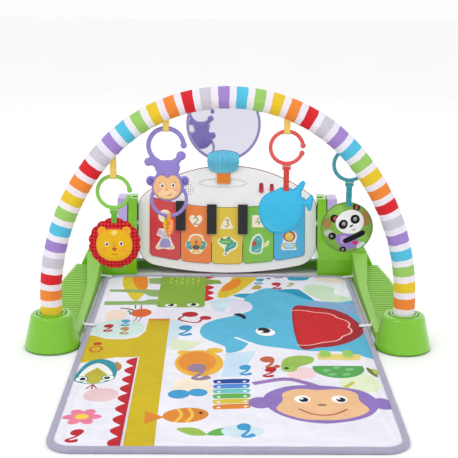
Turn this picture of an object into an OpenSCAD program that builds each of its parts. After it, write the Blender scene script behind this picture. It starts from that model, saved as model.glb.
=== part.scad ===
// Activity play gym: padded mat, two base arms, fabric-covered arch with hanging
// toys, and a five-key piano with a round mirror.
// X runs across the mat, +Y points to the piano end, +Z is up. The origin is on
// the floor, in the middle of the whole footprint.

/* [Play mat] */
// Width of the padded mat
mat_w = 506; // [480:1:506]
// Length of the padded mat
mat_l = 826; // [780:1:826]
// Thickness of the padding at rest
mat_t = 9; // [6:0.5:10]
// Corner radius of the mat
mat_corner = 38; // [20:1:60]

/* [Arch] */
// Distance between the centres of the two arch legs
leg_span = 603; // [600:1:608]
// Height of the arch centreline at the crown
arch_top = 431.5; // [425:0.5:440]
// Height at which the straight legs start to curve
leg_top = 85; // [80:1:90]
// Radius of the crown arc
crown_r = 275; // [270:1:280]
// Outer radius of the padded sleeve
sleeve_r = 18.5; // [17:0.1:18.6]
// Outer radius of the inner tube
tube_r = 15; // [13:0.1:15]

/* [Base arms] */
// Radius of a socket cup at the floor
cup_r = 48; // [46:0.5:50]
// Height of a socket cup
cup_h = 61; // [58:1:62]
// Height of the two towers that hold the piano
tower_h = 162; // [155:1:170]
// Half distance between the inner faces of the towers
tower_in = 188; // [187.5:0.5:189]
// Wall thickness of the plastic shells
wall = 2.5; // [2:0.1:3]

/* [Piano] */
// Width of the piano
piano_w = 372; // [366:1:372]
// Height of the piano along its leaning face
piano_h = 223; // [220:1:226]
// Angle by which the face leans back
lean = 13; // [12:0.5:14]
// Number of coloured keys
key_count = 5; // [3:1:5]
// Distance from key to key
key_pitch = 65; // [60:0.5:65]
// Gap between neighbouring keys
key_gap = 1.4; // [1.2:0.1:2]

/* [Mirror] */
// Radius of the mirror over its rim
mirror_r = 77.5; // [70:0.5:80]
// Sideways offset of the mirror, its strap and its recess
mirror_x = -9; // [-15:1:0]

/* [Toys] */
// Centreline radius of a snap ring
ring_r = 26.8; // [25:0.1:28]
// Radius of the rod that a snap ring is bent from
ring_rod = 3.2; // [2.8:0.1:3.3]
// Radius of the lion toy
lion_r = 43.5; // [40:0.5:44]
// Radius of the panda toy
panda_r = 44.5; // [40:0.5:45]

/* [Hidden] */
$fn = 48;
eps = 0.01;

// Mat and floor heights
back_y = 457.5;
mat_y0 = -back_y;
pad_t = 1.4;
cover_t = 2.2;
shell_z = pad_t + cover_t;

// Arch: straight legs, two side arcs and one crown arc, tangent where they meet
arch_y = -37.5;
leg_x = leg_span / 2;
arch_rise = arch_top - leg_top;
side_rise = arch_rise - crown_r;
side_r = (leg_x * leg_x + side_rise * side_rise - crown_r * crown_r) / (2 * (leg_x - crown_r));
side_a = atan2(side_rise, side_r - leg_x);
sleeve_end = 52;
tube_end = 12;

// Socket in each cup
socket_r = 24.4;
socket_h = 62.5;
tube_bore = tube_r + 0.35;
sleeve_bore = sleeve_r + 0.9;

// Tower and wing plan
tower_y0 = 371;
wing_in = 259;
wing_out_back = 312;
latch_in = 205.5;
latch_out = 228;
latch_z = 111;

// Piano face: its lower edge, and the arcs of its outline
face_y = 392.5;
face_z = 6;
shell_t = 2.6;
front_d = 14;
bottom_r = 735;
corner_r = 45;
top_r = 283;
shoulder_r = 36;
corner_x = piano_w / 2 - corner_r;
corner_v = bottom_r - sqrt(pow(bottom_r - corner_r, 2) - corner_x * corner_x);
corner_a = atan2(corner_v - bottom_r, corner_x);
shoulder_x = piano_w / 2 - shoulder_r;
shoulder_v = piano_h - top_r + sqrt(pow(top_r - shoulder_r, 2) - shoulder_x * shoulder_x);
shoulder_a = atan2(shoulder_v - piano_h + top_r, shoulder_x);
hub_v = 104;
hub_w = 7;
hub_r = 6.5;

// Keys: both ends follow arcs about the centre of the piano's bottom arc
key_low_r = bottom_r - 18.5;
key_high_r = bottom_r - 136;
key_front = -3;
key_back = 9;
rod_v = 130;
rod_w = 5;
rod_r = 1.5;
key_fit = 0.9;
key_colors = ["#d5333c", "#ef7d33", "#e3c32d", "#7cc242", "#45b2e0"];

// Sliding switches: place along the face, width, height, and travel
slider_v = 178;
power_x = 71;
volume_x = 93;

// Mirror hinge line and its lean
mirror_y = 438.5;
mirror_z = 224;
mirror_lean = 5;
mirror_turn = -2.2;
mirror_v = 88;

// Toy places in the arch plane
loop_w = 10.5;
bar_drop = 35.5;
bar_r = 1.7;
lion_x = -191;
lion_ring_z = 273;
lion_z = 184.5;
monkey_x = -103;
monkey_ring_z = 351;
monkey_r = 29;
monkey_rod = 3.9;
monkey_head_z = 284;
tail_z = 261;
tail_r = 29;
tail_rod = 3;
elephant_x = 96;
elephant_ring_z = 349;
elephant_z = 245;
panda_x = 204;
panda_y = -12;
panda_ring_z = 316;
panda_z = 207;

// Points along an arc about [cx, cy], from angle a0 to a1 in n steps
function arc(cx, cy, r, a0, a1, n) =
    [for (i = [0:n]) let (a = a0 + (a1 - a0) * i / n) [cx + r * cos(a), cy + r * sin(a)]];

// Point on a cubic curve through p[0] and p[3]
function cubic(p, t) =
    pow(1 - t, 3) * p[0] + 3 * t * pow(1 - t, 2) * p[1] + 3 * t * t * (1 - t) * p[2] + pow(t, 3) * p[3];
function cubic_points(p, n) = [for (i = [0:n]) cubic(p, i / n)];

// Outline of the piano, drawn in by d
function piano_outline(d) = concat(
    arc(corner_x, corner_v, corner_r - d, corner_a, 0, 10),
    arc(shoulder_x, shoulder_v, shoulder_r - d, 0, shoulder_a, 8),
    arc(0, piano_h - top_r, top_r - d, shoulder_a, 180 - shoulder_a, 28),
    arc(-shoulder_x, shoulder_v, shoulder_r - d, 180 - shoulder_a, 180, 8),
    arc(-corner_x, corner_v, corner_r - d, 180, 180 - corner_a, 10),
    arc(0, bottom_r, bottom_r - d, 180 - corner_a, 360 + corner_a, 24)
);

// Height of the keys' lower and upper ends at x
function key_low(x, g) = bottom_r - sqrt(pow(key_low_r + g, 2) - x * x);
function key_high(x, g) = bottom_r - sqrt(pow(key_high_r - g, 2) - x * x);

// Outline of one key, grown by g
function key_outline(i, g) =
    let (
        xc = (i - (key_count - 1) / 2) * key_pitch,
        half = (key_pitch - key_gap) / 2 + g,
        rb = 8 + g,
        rt = 3 + max(g, -1)
    )
    concat(
        arc(xc - half + rb, key_low(xc - half + rb, g) + rb, rb, 180, 270, 6),
        [[xc, key_low(xc, g)]],
        arc(xc + half - rb, key_low(xc + half - rb, g) + rb, rb, 270, 360, 6),
        arc(xc + half - rt, key_high(xc + half - rt, g) - rt, rt, 0, 90, 4),
        [[xc, key_high(xc, g)]],
        arc(xc - half + rt, key_high(xc - half + rt, g) - rt, rt, 90, 180, 4)
    );

// Mirror images for the left-hand parts
module left() {
    mirror([1, 0, 0]) children();
}

// Piano frame: x across, y into the body, z up along the leaning face
module on_face() {
    translate([0, face_y, face_z]) rotate([-lean, 0, 0]) children();
}

// A slab with an [x, z] outline, from y0 to y1
module slab(y0, y1) {
    translate([0, y1, 0]) rotate([90, 0, 0]) linear_extrude(y1 - y0) children();
}

// A slab with a [y, z] outline, from x0 to x1
module side_slab(x0, x1) {
    translate([x0, 0, 0]) rotate([90, 0, 90]) linear_extrude(x1 - x0) children();
}

// Rod along X through [y, z]
module x_rod(x0, x1, y, z, r) {
    translate([x0, y, z]) rotate([0, 90, 0]) cylinder(h = x1 - x0, r = r);
}

// ---------- Mat ----------

module mat() {
    c = mat_corner;
    x = mat_w / 2 - c;
    y0 = mat_y0 + c;
    y1 = mat_y0 + mat_l - c;
    color("#dfe3ee")
    linear_extrude(mat_t)
    polygon(concat(
        arc(x, y0, c, -90, 0, 10), arc(x, y1, c, 0, 90, 10),
        arc(-x, y1, c, 90, 180, 10), arc(-x, y0, c, 180, 270, 10)
    ));
}

// Fabric tabs that tie the mat to the wings
loop_y = [48, 352];
loop_half = 6;
tab_t = 1.2;
module mat_loops() {
    start = mat_w / 2 - 6;
    end = wing_in - 0.3;
    color("white")
    for (side = [0, 1], y = loop_y) mirror([side, 0, 0]) translate([0, y - loop_half, mat_t]) {
        translate([start, 0, 0]) cube([end - start, 2 * loop_half, tab_t]);
        translate([end - tab_t, 0, 0]) cube([tab_t, 2 * loop_half, 7]);
    }
}

// ---------- Base arms, drawn for the right-hand side ----------

// Outer and inner surface of the cup, closed at the shell's lower edge
module cup_solid(d) {
    rotate_extrude()
    polygon(concat(
        [[0, shell_z - d], [cup_r - d, shell_z - d]],
        arc(cup_r - 17.6, cup_h - 6 - d * 0.2, 6 - d * 0.4, 12, 90, 6),
        [[0, cup_h - d]]
    ));
}

// Plan of the low wing between the cup and the tower
function wing_plan(d) = [
    [wing_in + d, arch_y], [wing_in + d, tower_y0 - d], [wing_out_back - d, tower_y0 - d],
    [327 - d, 297], [340 - d, 150], [346 - d, arch_y]
];
// Plan of the smooth spine that runs along the mat's edge
function spine_plan(d) = [
    [wing_in + d, arch_y + 30], [wing_in + d, tower_y0 - d], [290 - d, tower_y0 - d],
    [276 - d, 250], [268 - d, 60], [265 - d, arch_y + 30]
];

// Side view of the wing: low at the cup, rising to the tower
module wing_side(d, low, high) {
    side_slab(wing_in - 1, 360)
    polygon(concat(
        [[arch_y - 60, shell_z - d - eps], [arch_y - 60, low - d]],
        cubic_points([[60, low - d], [210, low + 2 - d], [300, low + 8 - d], [tower_y0, high - d]], 10),
        [[tower_y0 + 2, high - d], [tower_y0 + 2, shell_z - d - eps]]
    ));
}

module wing_body(d) {
    intersection() {
        translate([0, 0, shell_z - d]) linear_extrude(90) polygon(wing_plan(d));
        wing_side(d, 13, 30);
    }
    intersection() {
        translate([0, 0, shell_z - d]) linear_extrude(90) polygon(spine_plan(d));
        wing_side(d, 16, 56);
    }
}

// Cross ribs on the outer part of the wing
rib_pitch = 12;
rib_h = 1.4;
module wing_ribs() {
    intersection() {
        translate([0, 0, shell_z]) linear_extrude(90)
            polygon([[280, tower_y0 - 6], [wing_out_back - 4, tower_y0 - 6], [323, 297], [336, 150],
                [340, 30], [273, 30], [277, 200]]);
        wing_side(0, 13 + rib_h, 30 + rib_h);
        union() for (i = [0:27]) translate([260, 34 + i * rib_pitch, 0]) cube([90, 5, 60]);
    }
}

boss_spots = [[283, 110], [290, 290]];

module wing_right() {
    color("#86bd45")
    difference() {
        union() {
            wing_body(0);
            wing_ribs();
        }
        difference() {
            wing_body(wall);
            for (p = boss_spots) translate([p[0], p[1], 0]) cylinder(h = 60, r = 4.5);
        }
        for (p = boss_spots) translate([p[0], p[1], 0]) cylinder(h = 12, r = 1.6);
        // The end of the wing follows the cone of the cup
        translate([leg_x, arch_y, 0]) cylinder(h = 60, r1 = cup_r + 0.9, r2 = cup_r - 12.5);
    }
}
module wing_left() left() wing_right();

module cup_right() {
    color("#76c10f")
    translate([leg_x, arch_y, 0])
    difference() {
        cup_solid(0);
        cup_solid(wall);
        translate([0, 0, cup_h - 10]) cylinder(h = 20, r = socket_r + 1.6);
        translate([0, 0, -eps]) cylinder(h = shell_z + eps, r = 60);
    }
}
module cup_left() left() cup_right();

// Front view of the tower, drawn in by d
function tower_front(d) = concat(
    [[tower_in + d, shell_z - d - eps], [tower_in + d, tower_h - d], [latch_in - d, tower_h - d],
     [latch_in - d, latch_z - d]],
    cubic_points([[latch_out - d, latch_z - d], [262 - d, 110 - d], [288 - d, 70 - d],
        [wing_out_back - d, shell_z - d - eps]], 14)
);
// Side view of the tower, leaning back with the piano
function tower_side(d) = concat(
    [[back_y - d, shell_z - d - eps], [tower_y0 + d, shell_z - d - eps]],
    cubic_points([[tower_y0 + d, 40], [tower_y0 + 6 + d, 90], [398 + d, 130], [404 + d, tower_h - d]], 8),
    [[452 - d, tower_h - d], [back_y - d, 120]]
);
module tower_body(d) {
    intersection() {
        slab(tower_y0 - 5, back_y + 5) polygon(tower_front(d));
        side_slab(tower_in - 5, 330) polygon(tower_side(d));
    }
}

tower_bosses = [[222, 400], [290, 425]];
hub_y = face_y + hub_v * sin(lean) + hub_w * cos(lean);
hub_z = face_z + hub_v * cos(lean) - hub_w * sin(lean);
stem_y0 = 424;
stem_z0 = 130;
stem_size = 12;
bar_y0 = 434;
bar_y1 = 454.6;
bar_z1 = 19;

module tower_right() {
    slot_half = hub_r + 0.35;
    color("#76c10f")
    difference() {
        tower_body(0);
        difference() {
            tower_body(wall);
            for (p = tower_bosses) translate([p[0], p[1], 0]) cylinder(h = 200, r = 4.5);
        }
        for (p = tower_bosses) translate([p[0], p[1], 0]) cylinder(h = 16, r = 1.6);
        // Slot for the piano's hub, open at the top
        x_rod(tower_in - 1, tower_in + wall + 1, hub_y, hub_z, slot_half);
        translate([tower_in - 1, hub_y - slot_half, hub_z]) cube([12, 2 * slot_half, tower_h]);
        // Window for the latch's stem
        translate([latch_in - wall - 1, stem_y0 - 0.5, stem_z0 - 0.5])
            cube([wall + 2, stem_size + 1, stem_size + 1]);
        // Pocket for the rear bar
        translate([tower_in - 1, bar_y0 - 0.2, shell_z - 1])
            cube([wall + 2, bar_y1 - bar_y0 + 0.4, bar_z1 - shell_z + 1.2]);
    }
}

module tower_left() left() tower_right();

// Lined socket that holds one end of the arch
module socket_right() {
    color("#6cb50d")
    translate([leg_x, arch_y, 0])
    rotate_extrude()
    polygon([
        [tube_bore, shell_z], [socket_r + 3, shell_z], [socket_r + 3, shell_z + 3],
        [socket_r, shell_z + 3], [socket_r, socket_h - 1], [socket_r - 1, socket_h],
        [sleeve_bore + 0.8, socket_h], [sleeve_bore, socket_h - 1], [sleeve_bore, sleeve_end - 2],
        [tube_bore, sleeve_end - 2]
    ]);
}
module socket_left() left() socket_right();

pad_spots = [[leg_x, arch_y], [290, 190], [250, 415]];
screw_spots = concat(boss_spots, tower_bosses);

// One plate closes the underside of the wing and the tower
module base_cover_right() {
    color("#5aa30c")
    translate([0, 0, pad_t])
    difference() {
        union() {
            linear_extrude(cover_t) polygon([
                [wing_in + 0.6, arch_y], [wing_in + 0.6, tower_y0], [tower_in + 0.6, tower_y0 + 0.6],
                [tower_in + 0.6, back_y - 0.6], [wing_out_back - 1, back_y - 0.6],
                [wing_out_back - 1, tower_y0], [326.4, 297], [339.4, 150], [345, arch_y]
            ]);
            translate([leg_x, arch_y, 0]) cylinder(h = cover_t, r = cup_r - 0.6);
        }
        for (p = screw_spots) translate([p[0], p[1], -1]) {
            cylinder(h = 10, r = 1.8);
            cylinder(h = 2.2, r = 3.6);
        }
    }
}
module base_cover_left() left() base_cover_right();

// Beam behind the piano that ties the two towers together
module rear_bar() {
    color("#5aa30c")
    difference() {
        translate([-tower_in - 9, bar_y0, shell_z])
            cube([2 * tower_in + 18, bar_y1 - bar_y0, bar_z1 - shell_z]);
        translate([-tower_in - 12, bar_y0 + wall, shell_z + wall])
            cube([2 * tower_in + 24, bar_y1 - bar_y0 - 2 * wall, bar_z1 - shell_z - 2 * wall]);
    }
}

module floor_pads() {
    color("#4b4f52")
    for (side = [-1, 1], p = pad_spots)
        translate([side * p[0], p[1], 0]) cylinder(h = pad_t, r = 12);
}

module base_screws() {
    color("silver")
    for (side = [-1, 1], p = screw_spots) translate([side * p[0], p[1], pad_t]) {
        translate([0, 0, 0.2]) cylinder(h = 1, r = 3.3);
        cylinder(h = 9, r = 1.5);
    }
}

// Spring-loaded side latch with its stem
module latch_right() {
    gap = 2.2;
    color("#b7a6d9")
    intersection() {
        union() {
            difference() {
                translate([latch_in + gap, 300, latch_z + 0.8]) cube([latch_out - latch_in - gap, 200, 90]);
                intersection() {
                    translate([latch_in, 300, latch_z + 0.8 + wall])
                        cube([latch_out - latch_in - wall, 200, 90]);
                    side_slab(150, 250) polygon(tower_side(wall + 0.5));
                }
            }
            translate([198.4, stem_y0, stem_z0]) cube([latch_out - 199, stem_size, stem_size]);
        }
        side_slab(150, 250) polygon(tower_side(0.5));
    }
}
module latch_left() left() latch_right();

// ---------- Piano ----------

recess_v = 189;
recess_a = 50;
recess_b = 9;
function oval(a, b, n) = [for (i = [0:n - 1]) [a * cos(360 * i / n), b * sin(360 * i / n)]];
function slot_outline(w, h) =
    concat(arc(0, (h - w) / 2, w / 2, 0, 180, 8), arc(0, (w - h) / 2, w / 2, 180, 360, 8));

// Rows of sound holes beside the speaker
speaker_x = -82;
speaker_v = 174;
hole_pitch = 5;
function grille_spots() = [
    for (i = [-2:2], j = [-2:2]) if (abs(i) + abs(j) < 4)
        [speaker_x + i * hole_pitch, speaker_v + j * hole_pitch]
];

piano_bosses = [[-172, 70], [172, 70], [-140, 174], [140, 174], [0, 200]];

module piano_front() {
    color("#f5f5f3")
    on_face() {
        difference() {
            union() {
                difference() {
                    slab(0, front_d) polygon(piano_outline(0));
                    slab(shell_t, front_d + 1) polygon(piano_outline(shell_t));
                }
                translate([mirror_x, 0, recess_v])
                    slab(shell_t - 1, 6) polygon(oval(recess_a + 3, recess_b + 3, 40));
                for (side = [-1, 1]) {
                    x_rod(side * 190.5 - 5.5, side * 190.5 + 5.5, hub_w, hub_v, hub_r);
                    translate([side * 166.5 - 2, shell_t - 1, rod_v - 5]) cube([4, 7.4, 10]);
                }
                for (p = piano_bosses) translate([p[0], 0, p[1]]) slab(shell_t - 1, front_d)
                    circle(r = 4.5);
            }
            for (i = [0:key_count - 1]) slab(-1, shell_t + 1) polygon(key_outline(i, key_fit));
            translate([mirror_x, 0, recess_v]) slab(-1, 3) polygon(oval(recess_a, recess_b, 40));
            translate([power_x, 0, slider_v]) slab(-1, 5) polygon(slot_outline(5, 18));
            translate([volume_x, 0, slider_v]) slab(-1, 5) polygon(slot_outline(5, 15));
            translate([power_x, 0, slider_v]) slab(-1, 1) polygon(slot_outline(9.6, 22));
            translate([volume_x, 0, slider_v]) slab(-1, 1) polygon(slot_outline(8.6, 18));
            for (p = grille_spots()) translate([p[0], 0, p[1]]) slab(-1, 5) circle(r = 1);
            x_rod(-168, 168, rod_w, rod_v, rod_r + 0.02);
            for (p = piano_bosses) translate([p[0], 0, p[1]]) slab(5, front_d + 1) circle(r = 1.3);
        }
    }
}

module piano_trim() {
    color("#8e2436")
    on_face() difference() {
        slab(front_d, front_d + 1.2) polygon(piano_outline(-0.8));
        slab(front_d - 1, front_d + 2) polygon(piano_outline(8));
    }
}

// Rear housing, cut off by the upright back plane
screw_seat = front_d + 3.3;
back_v0 = 28;
back_v1 = 208;
module piano_back_body(d) {
    intersection() {
        on_face() intersection() {
            slab(front_d + 1.2 - (d > 0 ? 1 : 0), 80) polygon(piano_outline(5 + d));
            translate([-200, front_d, back_v0 + d]) cube([400, 90, back_v1 - back_v0 - 2 * d]);
        }
        translate([-250, 350, 0]) cube([500, back_y - 1 - d - 350, 300]);
    }
}
door_w = 66;
door_z0 = 50;
door_z1 = 112;
module piano_back() {
    color("#f0efec")
    difference() {
        piano_back_body(0);
        difference() {
            piano_back_body(shell_t);
            on_face() for (p = piano_bosses) translate([p[0], 0, p[1]]) slab(10, 90) circle(r = 4.2);
        }
        translate([-door_w / 2 - 0.4, back_y - 10, door_z0 - 0.4])
            cube([door_w + 0.8, 20, door_z1 - door_z0 + 0.8]);
        on_face() for (p = piano_bosses) translate([p[0], 0, p[1]]) {
            slab(10, 18) circle(r = 1.4);
            slab(screw_seat, 90) circle(r = 2.1);
        }
    }
}

module battery_door() {
    color("#e6e5e2") {
        translate([-door_w / 2, back_y - 1 - shell_t, door_z0]) cube([door_w, shell_t, door_z1 - door_z0]);
        translate([-8, back_y - 1 - shell_t, door_z1 - 12]) cube([16, shell_t + 0.6, 4]);
    }
}

module battery_cells() {
    color("#3f6f8f")
    on_face() for (i = [0:2]) {
        x_rod(-25, 24, 27, 58 + i * 16, 7);
        x_rod(24, 25.5, 27, 58 + i * 16, 2.5);
    }
}

module piano_screws() {
    color("silver")
    on_face() for (p = piano_bosses) translate([p[0], 0, p[1]]) {
        slab(8, screw_seat) circle(r = 1.25);
        slab(screw_seat, screw_seat + 1.6) circle(r = 1.9);
    }
}

// Black keys, fixed to the front above the coloured keys
black_w = 20;
black_l = 62;
black_front = -9;
module black_keys() {
    color("#1d1a1c")
    on_face() for (i = [1:key_count - 1]) {
        x = (i - key_count / 2) * key_pitch;
        foot = key_high(abs(x) + black_w / 2, 0) + 1.2;
        top = key_high(x, 0) + 6;
        translate([x - black_w / 2, black_front, top - black_l]) cube([black_w, -3.9 - black_front, black_l]);
        translate([x - black_w / 2, -4, foot]) cube([black_w, 4, top - foot]);
    }
}

module key_cap(i) {
    color(key_colors[i])
    on_face() difference() {
        slab(key_front, key_back) polygon(key_outline(i, 0));
        slab(key_front + 2, key_back + 1) polygon(key_outline(i, -2));
        x_rod(-200, 200, rod_w, rod_v, rod_r + 0.08);
    }
}

module key_rod() {
    color("silver") on_face() x_rod(-168, 168, rod_w, rod_v, rod_r);
}

dome_v = 47;
module key_domes() {
    color("#c9ccd0")
    on_face() for (i = [0:key_count - 1]) translate([(i - (key_count - 1) / 2) * key_pitch, 0, dome_v])
        slab(13.8, 16) circle(r = 7);
}

module key_board() {
    color("#2f7d4f")
    on_face() translate([-150, 16, 36]) cube([300, 1.6, 26]);
}

module main_board() {
    color("#2f7d4f")
    on_face() translate([50, 12, 162]) cube([62, 1.6, 30]);
}

module speaker() {
    color("#34373a")
    on_face() translate([speaker_x, 0, speaker_v - 5]) {
        slab(3, 6) circle(r = 20);
        slab(6, 12) circle(r = 12);
    }
}

// Cap of a sliding switch: outer cap, stem through the slot, and inner flange
module slider_cap(x, w, h) {
    color("#d2283c")
    on_face() translate([x, 0, slider_v - (x == power_x ? 5 : 3.5)]) {
        slab(-4, 0.7) polygon(slot_outline(w, h));
        slab(0, 3.5) polygon(slot_outline(4.4, 7.5));
        translate([-4, 3, -5]) cube([8, 1.6, 10]);
    }
}
module power_slider() slider_cap(power_x, 8.6, 11);
module volume_slider() slider_cap(volume_x, 7.6, 10);

// ---------- Mirror ----------

module on_mirror() {
    translate([mirror_x, mirror_y, mirror_z]) rotate([-mirror_lean, 0, mirror_turn]) children();
}
module disc(y0, y1, r) {
    translate([0, y0, mirror_v]) rotate([-90, 0, 0]) cylinder(h = y1 - y0, r = r, $fn = 96);
}

module mirror_rim() {
    color("#b3a7cf")
    on_mirror() difference() {
        disc(-3.5, 4.5, mirror_r);
        disc(-4, 0, mirror_r - 5.5);
        disc(0, 5, mirror_r - 3.5);
    }
}
module mirror_glass() color("#d7d8e2") on_mirror() disc(0, 2.4, mirror_r - 3.7);
module mirror_back() color("#c7bfdd") on_mirror() disc(2.4, 4.4, mirror_r - 3.7);

holder_w = 68;
module mirror_holder() {
    color("#35a9dc")
    on_mirror() difference() {
        slab(-6, 8) polygon(concat(
            arc(holder_w / 2 - 12, 17, 12, -90, 70, 8), arc(0, -60, 92, 76, 104, 6),
            arc(-holder_w / 2 + 12, 17, 12, 110, 270, 8)
        ));
        disc(-3.8, 4.8, mirror_r + 0.1);
    }
}
strap_w = 28;
module mirror_strap() {
    color("#f07f2d")
    on_face() translate([mirror_x - strap_w / 2 + 1, -1.4, recess_v - 2]) cube([strap_w, 1.2, 26]);
}

// Lower edge of the fabric pocket, which hangs over the piano's face
module holder_flap() {
    color("#35a9dc")
    on_face() translate([mirror_x + 4 - holder_w / 2, -3.2, recess_v + 18]) cube([holder_w - 6, 1.7, 15]);
}

// ---------- Arch ----------

// Arc of the arch in its upright plane
module arch_arc(cx, cz, r, a0, a1) {
    translate([cx, arch_y, cz]) rotate([90, -a0, 0]) rotate_extrude(angle = a1 - a0, $fn = 96)
        translate([r, 0]) children();
}

// Ring with its bore, drawn flat
module ring_profile(r_out, r_in) {
    difference() {
        circle(r = r_out);
        circle(r = r_in);
    }
}

// Short band that joins two stretches, centred on the end of a side arc
band_l = 2;
module band(a, r_out, r_in) {
    translate([leg_x - side_r, arch_y, leg_top]) rotate([0, -a, 0]) translate([side_r, 0, -band_l / 2])
        linear_extrude(band_l) ring_profile(r_out, r_in);
}

// Right half of a hollow arch that starts at z0: a leg, a side arc, half of the crown arc, and
// the bands between them
module half_arch(z0, r_out, r_in, band_out, band_in) {
    gap = 0.3;
    gap_a = gap / side_r * 180 / PI;
    translate([leg_x, arch_y, z0]) linear_extrude(leg_top - z0 - gap) ring_profile(r_out, r_in);
    arch_arc(leg_x - side_r, leg_top, side_r, gap_a, side_a - gap_a) ring_profile(r_out, r_in);
    arch_arc(0, arch_top - crown_r, crown_r, side_a + gap_a, 90 - gap_a) ring_profile(r_out, r_in);
    band(0, band_out, band_in);
    band(side_a, band_out, band_in);
}

module arch_sleeve() {
    color("#e9e2ee") {
        half_arch(sleeve_end, sleeve_r, tube_r, sleeve_r + 0.1, tube_r + 0.1);
        left() half_arch(sleeve_end, sleeve_r, tube_r, sleeve_r + 0.1, tube_r + 0.1);
        translate([-band_l / 2, arch_y, arch_top]) rotate([0, 90, 0])
            linear_extrude(band_l) ring_profile(sleeve_r + 0.1, tube_r + 0.1);
    }
}

module tube_right() {
    color("white") half_arch(tube_end, tube_r, tube_r - 2, tube_r - 0.1, tube_r - 2.1);
}
module tube_left() left() tube_right();

// Spigot that joins the two tubes at the crown
module tube_joiner() {
    color("#d0d3d6")
    arch_arc(0, arch_top - crown_r, crown_r, 83, 97) circle(r = tube_r - 2.2);
}

// Bent strip of width w around a rod along X at [y, z], with two straight legs up to z + leg,
// or down to it where leg is negative
module bent_strip(x, y, z, leg, r_in, w) {
    r_out = r_in + 1;
    low = min(leg, 0);
    difference() {
        union() {
            x_rod(x - w / 2, x + w / 2, y, z, r_out);
            translate([x - w / 2, y - r_out, z + low]) cube([w, 2 * r_out, abs(leg)]);
        }
        x_rod(x - w / 2 - 1, x + w / 2 + 1, y, z, r_in);
        translate([x - w / 2 - 1, y - r_in, z + low - (leg < 0 ? 1 : 0)])
            cube([w + 2, 2 * r_in, abs(leg) + 1]);
    }
}

// Ribbon that hangs from the sleeve at z1 and passes under a ring's rod at z0
module ribbon_loop(x, y, z0, z1, rod) {
    intersection() {
        bent_strip(x, y, z0, z1 - z0, rod + 1, loop_w);
        // The ends stop inside the padding, short of the tube
        translate([0, y + 20, arch_top - crown_r]) rotate([90, 0, 0])
            cylinder(h = 40, r = crown_r - tube_r - 0.4, $fn = 96);
    }
}
panda_hem = panda_y - 11.5;
panda_pivot_z = panda_ring_z + ring_r;
module toy_ribbons() {
    color("#f1cf5b") {
        ribbon_loop(lion_x, arch_y, lion_ring_z + ring_r, 338, ring_rod);
        ribbon_loop(monkey_x, arch_y, monkey_ring_z + monkey_r, 400, monkey_rod);
        ribbon_loop(elephant_x, arch_y, elephant_ring_z + ring_r, 400, ring_rod);
        bent_strip(panda_x, panda_y, panda_pivot_z, 357 - panda_pivot_z, ring_rod + 1, loop_w);
        translate([panda_x - loop_w / 2, panda_hem, 356]) cube([loop_w, panda_y + 5 - panda_hem, 1]);
    }
}

// ---------- Toys ----------

// Open snap ring with ball ends and a barred tab below
module snap_ring(x, y, z) {
    gap_a = 14;
    translate([x, y, z]) {
        rotate([90, -gap_a / 2, 0]) rotate_extrude(angle = 360 - 2 * gap_a, $fn = 72)
            translate([ring_r, 0]) circle(r = ring_rod, $fn = 24);
        for (a = [gap_a / 2, -1.5 * gap_a])
            rotate([0, -a, 0]) translate([ring_r, 0, 0]) sphere(r = 4.6, $fn = 24);
        difference() {
            translate([-7, -1.8, -bar_drop - bar_r]) cube([14, 3.6, 11.5]);
            translate([-4.9, -5, -bar_drop - 5]) cube([9.8, 10, 9.8]);
        }
        x_rod(-7, 7, 0, -bar_drop, bar_r);
    }
}

// Strap that passes over a bar at z1 and runs down to z0
module toy_strap(x, y, z0, z1, bar, w) bent_strip(x, y, z1, z0 - z1, bar, w);

// Puffy disc with its axis along Y
module puffy(x, y, z, r, t) {
    translate([x, y, z]) rotate([90, 0, 0]) rotate_extrude($fn = 72)
    polygon(concat(
        [[0, -t / 2]], [for (i = [1:9]) let (a = i / 10) [r * sin(90 * a), -t / 2 * cos(90 * a)]],
        [[r, 0]], [for (i = [9:-1:1]) let (a = i / 10) [r * sin(90 * a), t / 2 * cos(90 * a)]],
        [[0, t / 2]]
    ));
}

strap_bar = 2.9;
module lion_ring() color("#7ec636") snap_ring(lion_x, arch_y, lion_ring_z);
module lion() {
    color("#d8333b") {
        puffy(lion_x, arch_y, lion_z, lion_r, 14);
        toy_strap(lion_x, arch_y, lion_z + lion_r - 12, lion_ring_z - bar_drop, strap_bar, 9);
    }
}

module monkey() {
    gap_a = 15;
    color("#8f7bc8") {
        translate([monkey_x, arch_y, monkey_ring_z]) {
            rotate([90, 0, 0]) rotate_extrude(angle = 360 - 2 * gap_a, $fn = 72)
                translate([monkey_r, 0]) circle(r = monkey_rod, $fn = 24);
            for (a = [0, -2 * gap_a]) rotate([0, -a, 0]) translate([monkey_r, 0, 0])
                sphere(r = 5.4, $fn = 24);
            translate([-29, 0, -30]) sphere(r = 6.4, $fn = 24);
            rotate([0, 35, 0]) translate([-2, -4, -46]) cube([26, 8, 14]);
        }
        difference() {
            union() {
                puffy(monkey_x + 1, arch_y, monkey_ring_z - 38, 24, 15);
                puffy(monkey_x + 2, arch_y, monkey_head_z, 27, 19);
            }
            slab(-80, arch_y - 6.5) translate([monkey_x + 2, monkey_head_z]) circle(r = 24.5);
        }
        for (side = [-1, 1]) translate([monkey_x + 2 + side * 28, arch_y + 3.5, monkey_head_z + 8])
            rotate([90, 0, 0]) cylinder(h = 7, r = 8);
        translate([monkey_x + 4, arch_y + 1, tail_z]) rotate([90, 0, 0]) rotate_extrude($fn = 72)
            translate([tail_r, 0]) circle(r = tail_rod, $fn = 24);
    }
}
module monkey_face() {
    color("#e7b27c")
    translate([monkey_x + 2, arch_y - 6.6, monkey_head_z]) rotate([90, 0, 0]) cylinder(h = 4, r = 23);
}
charm_x = monkey_x + 4;
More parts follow.
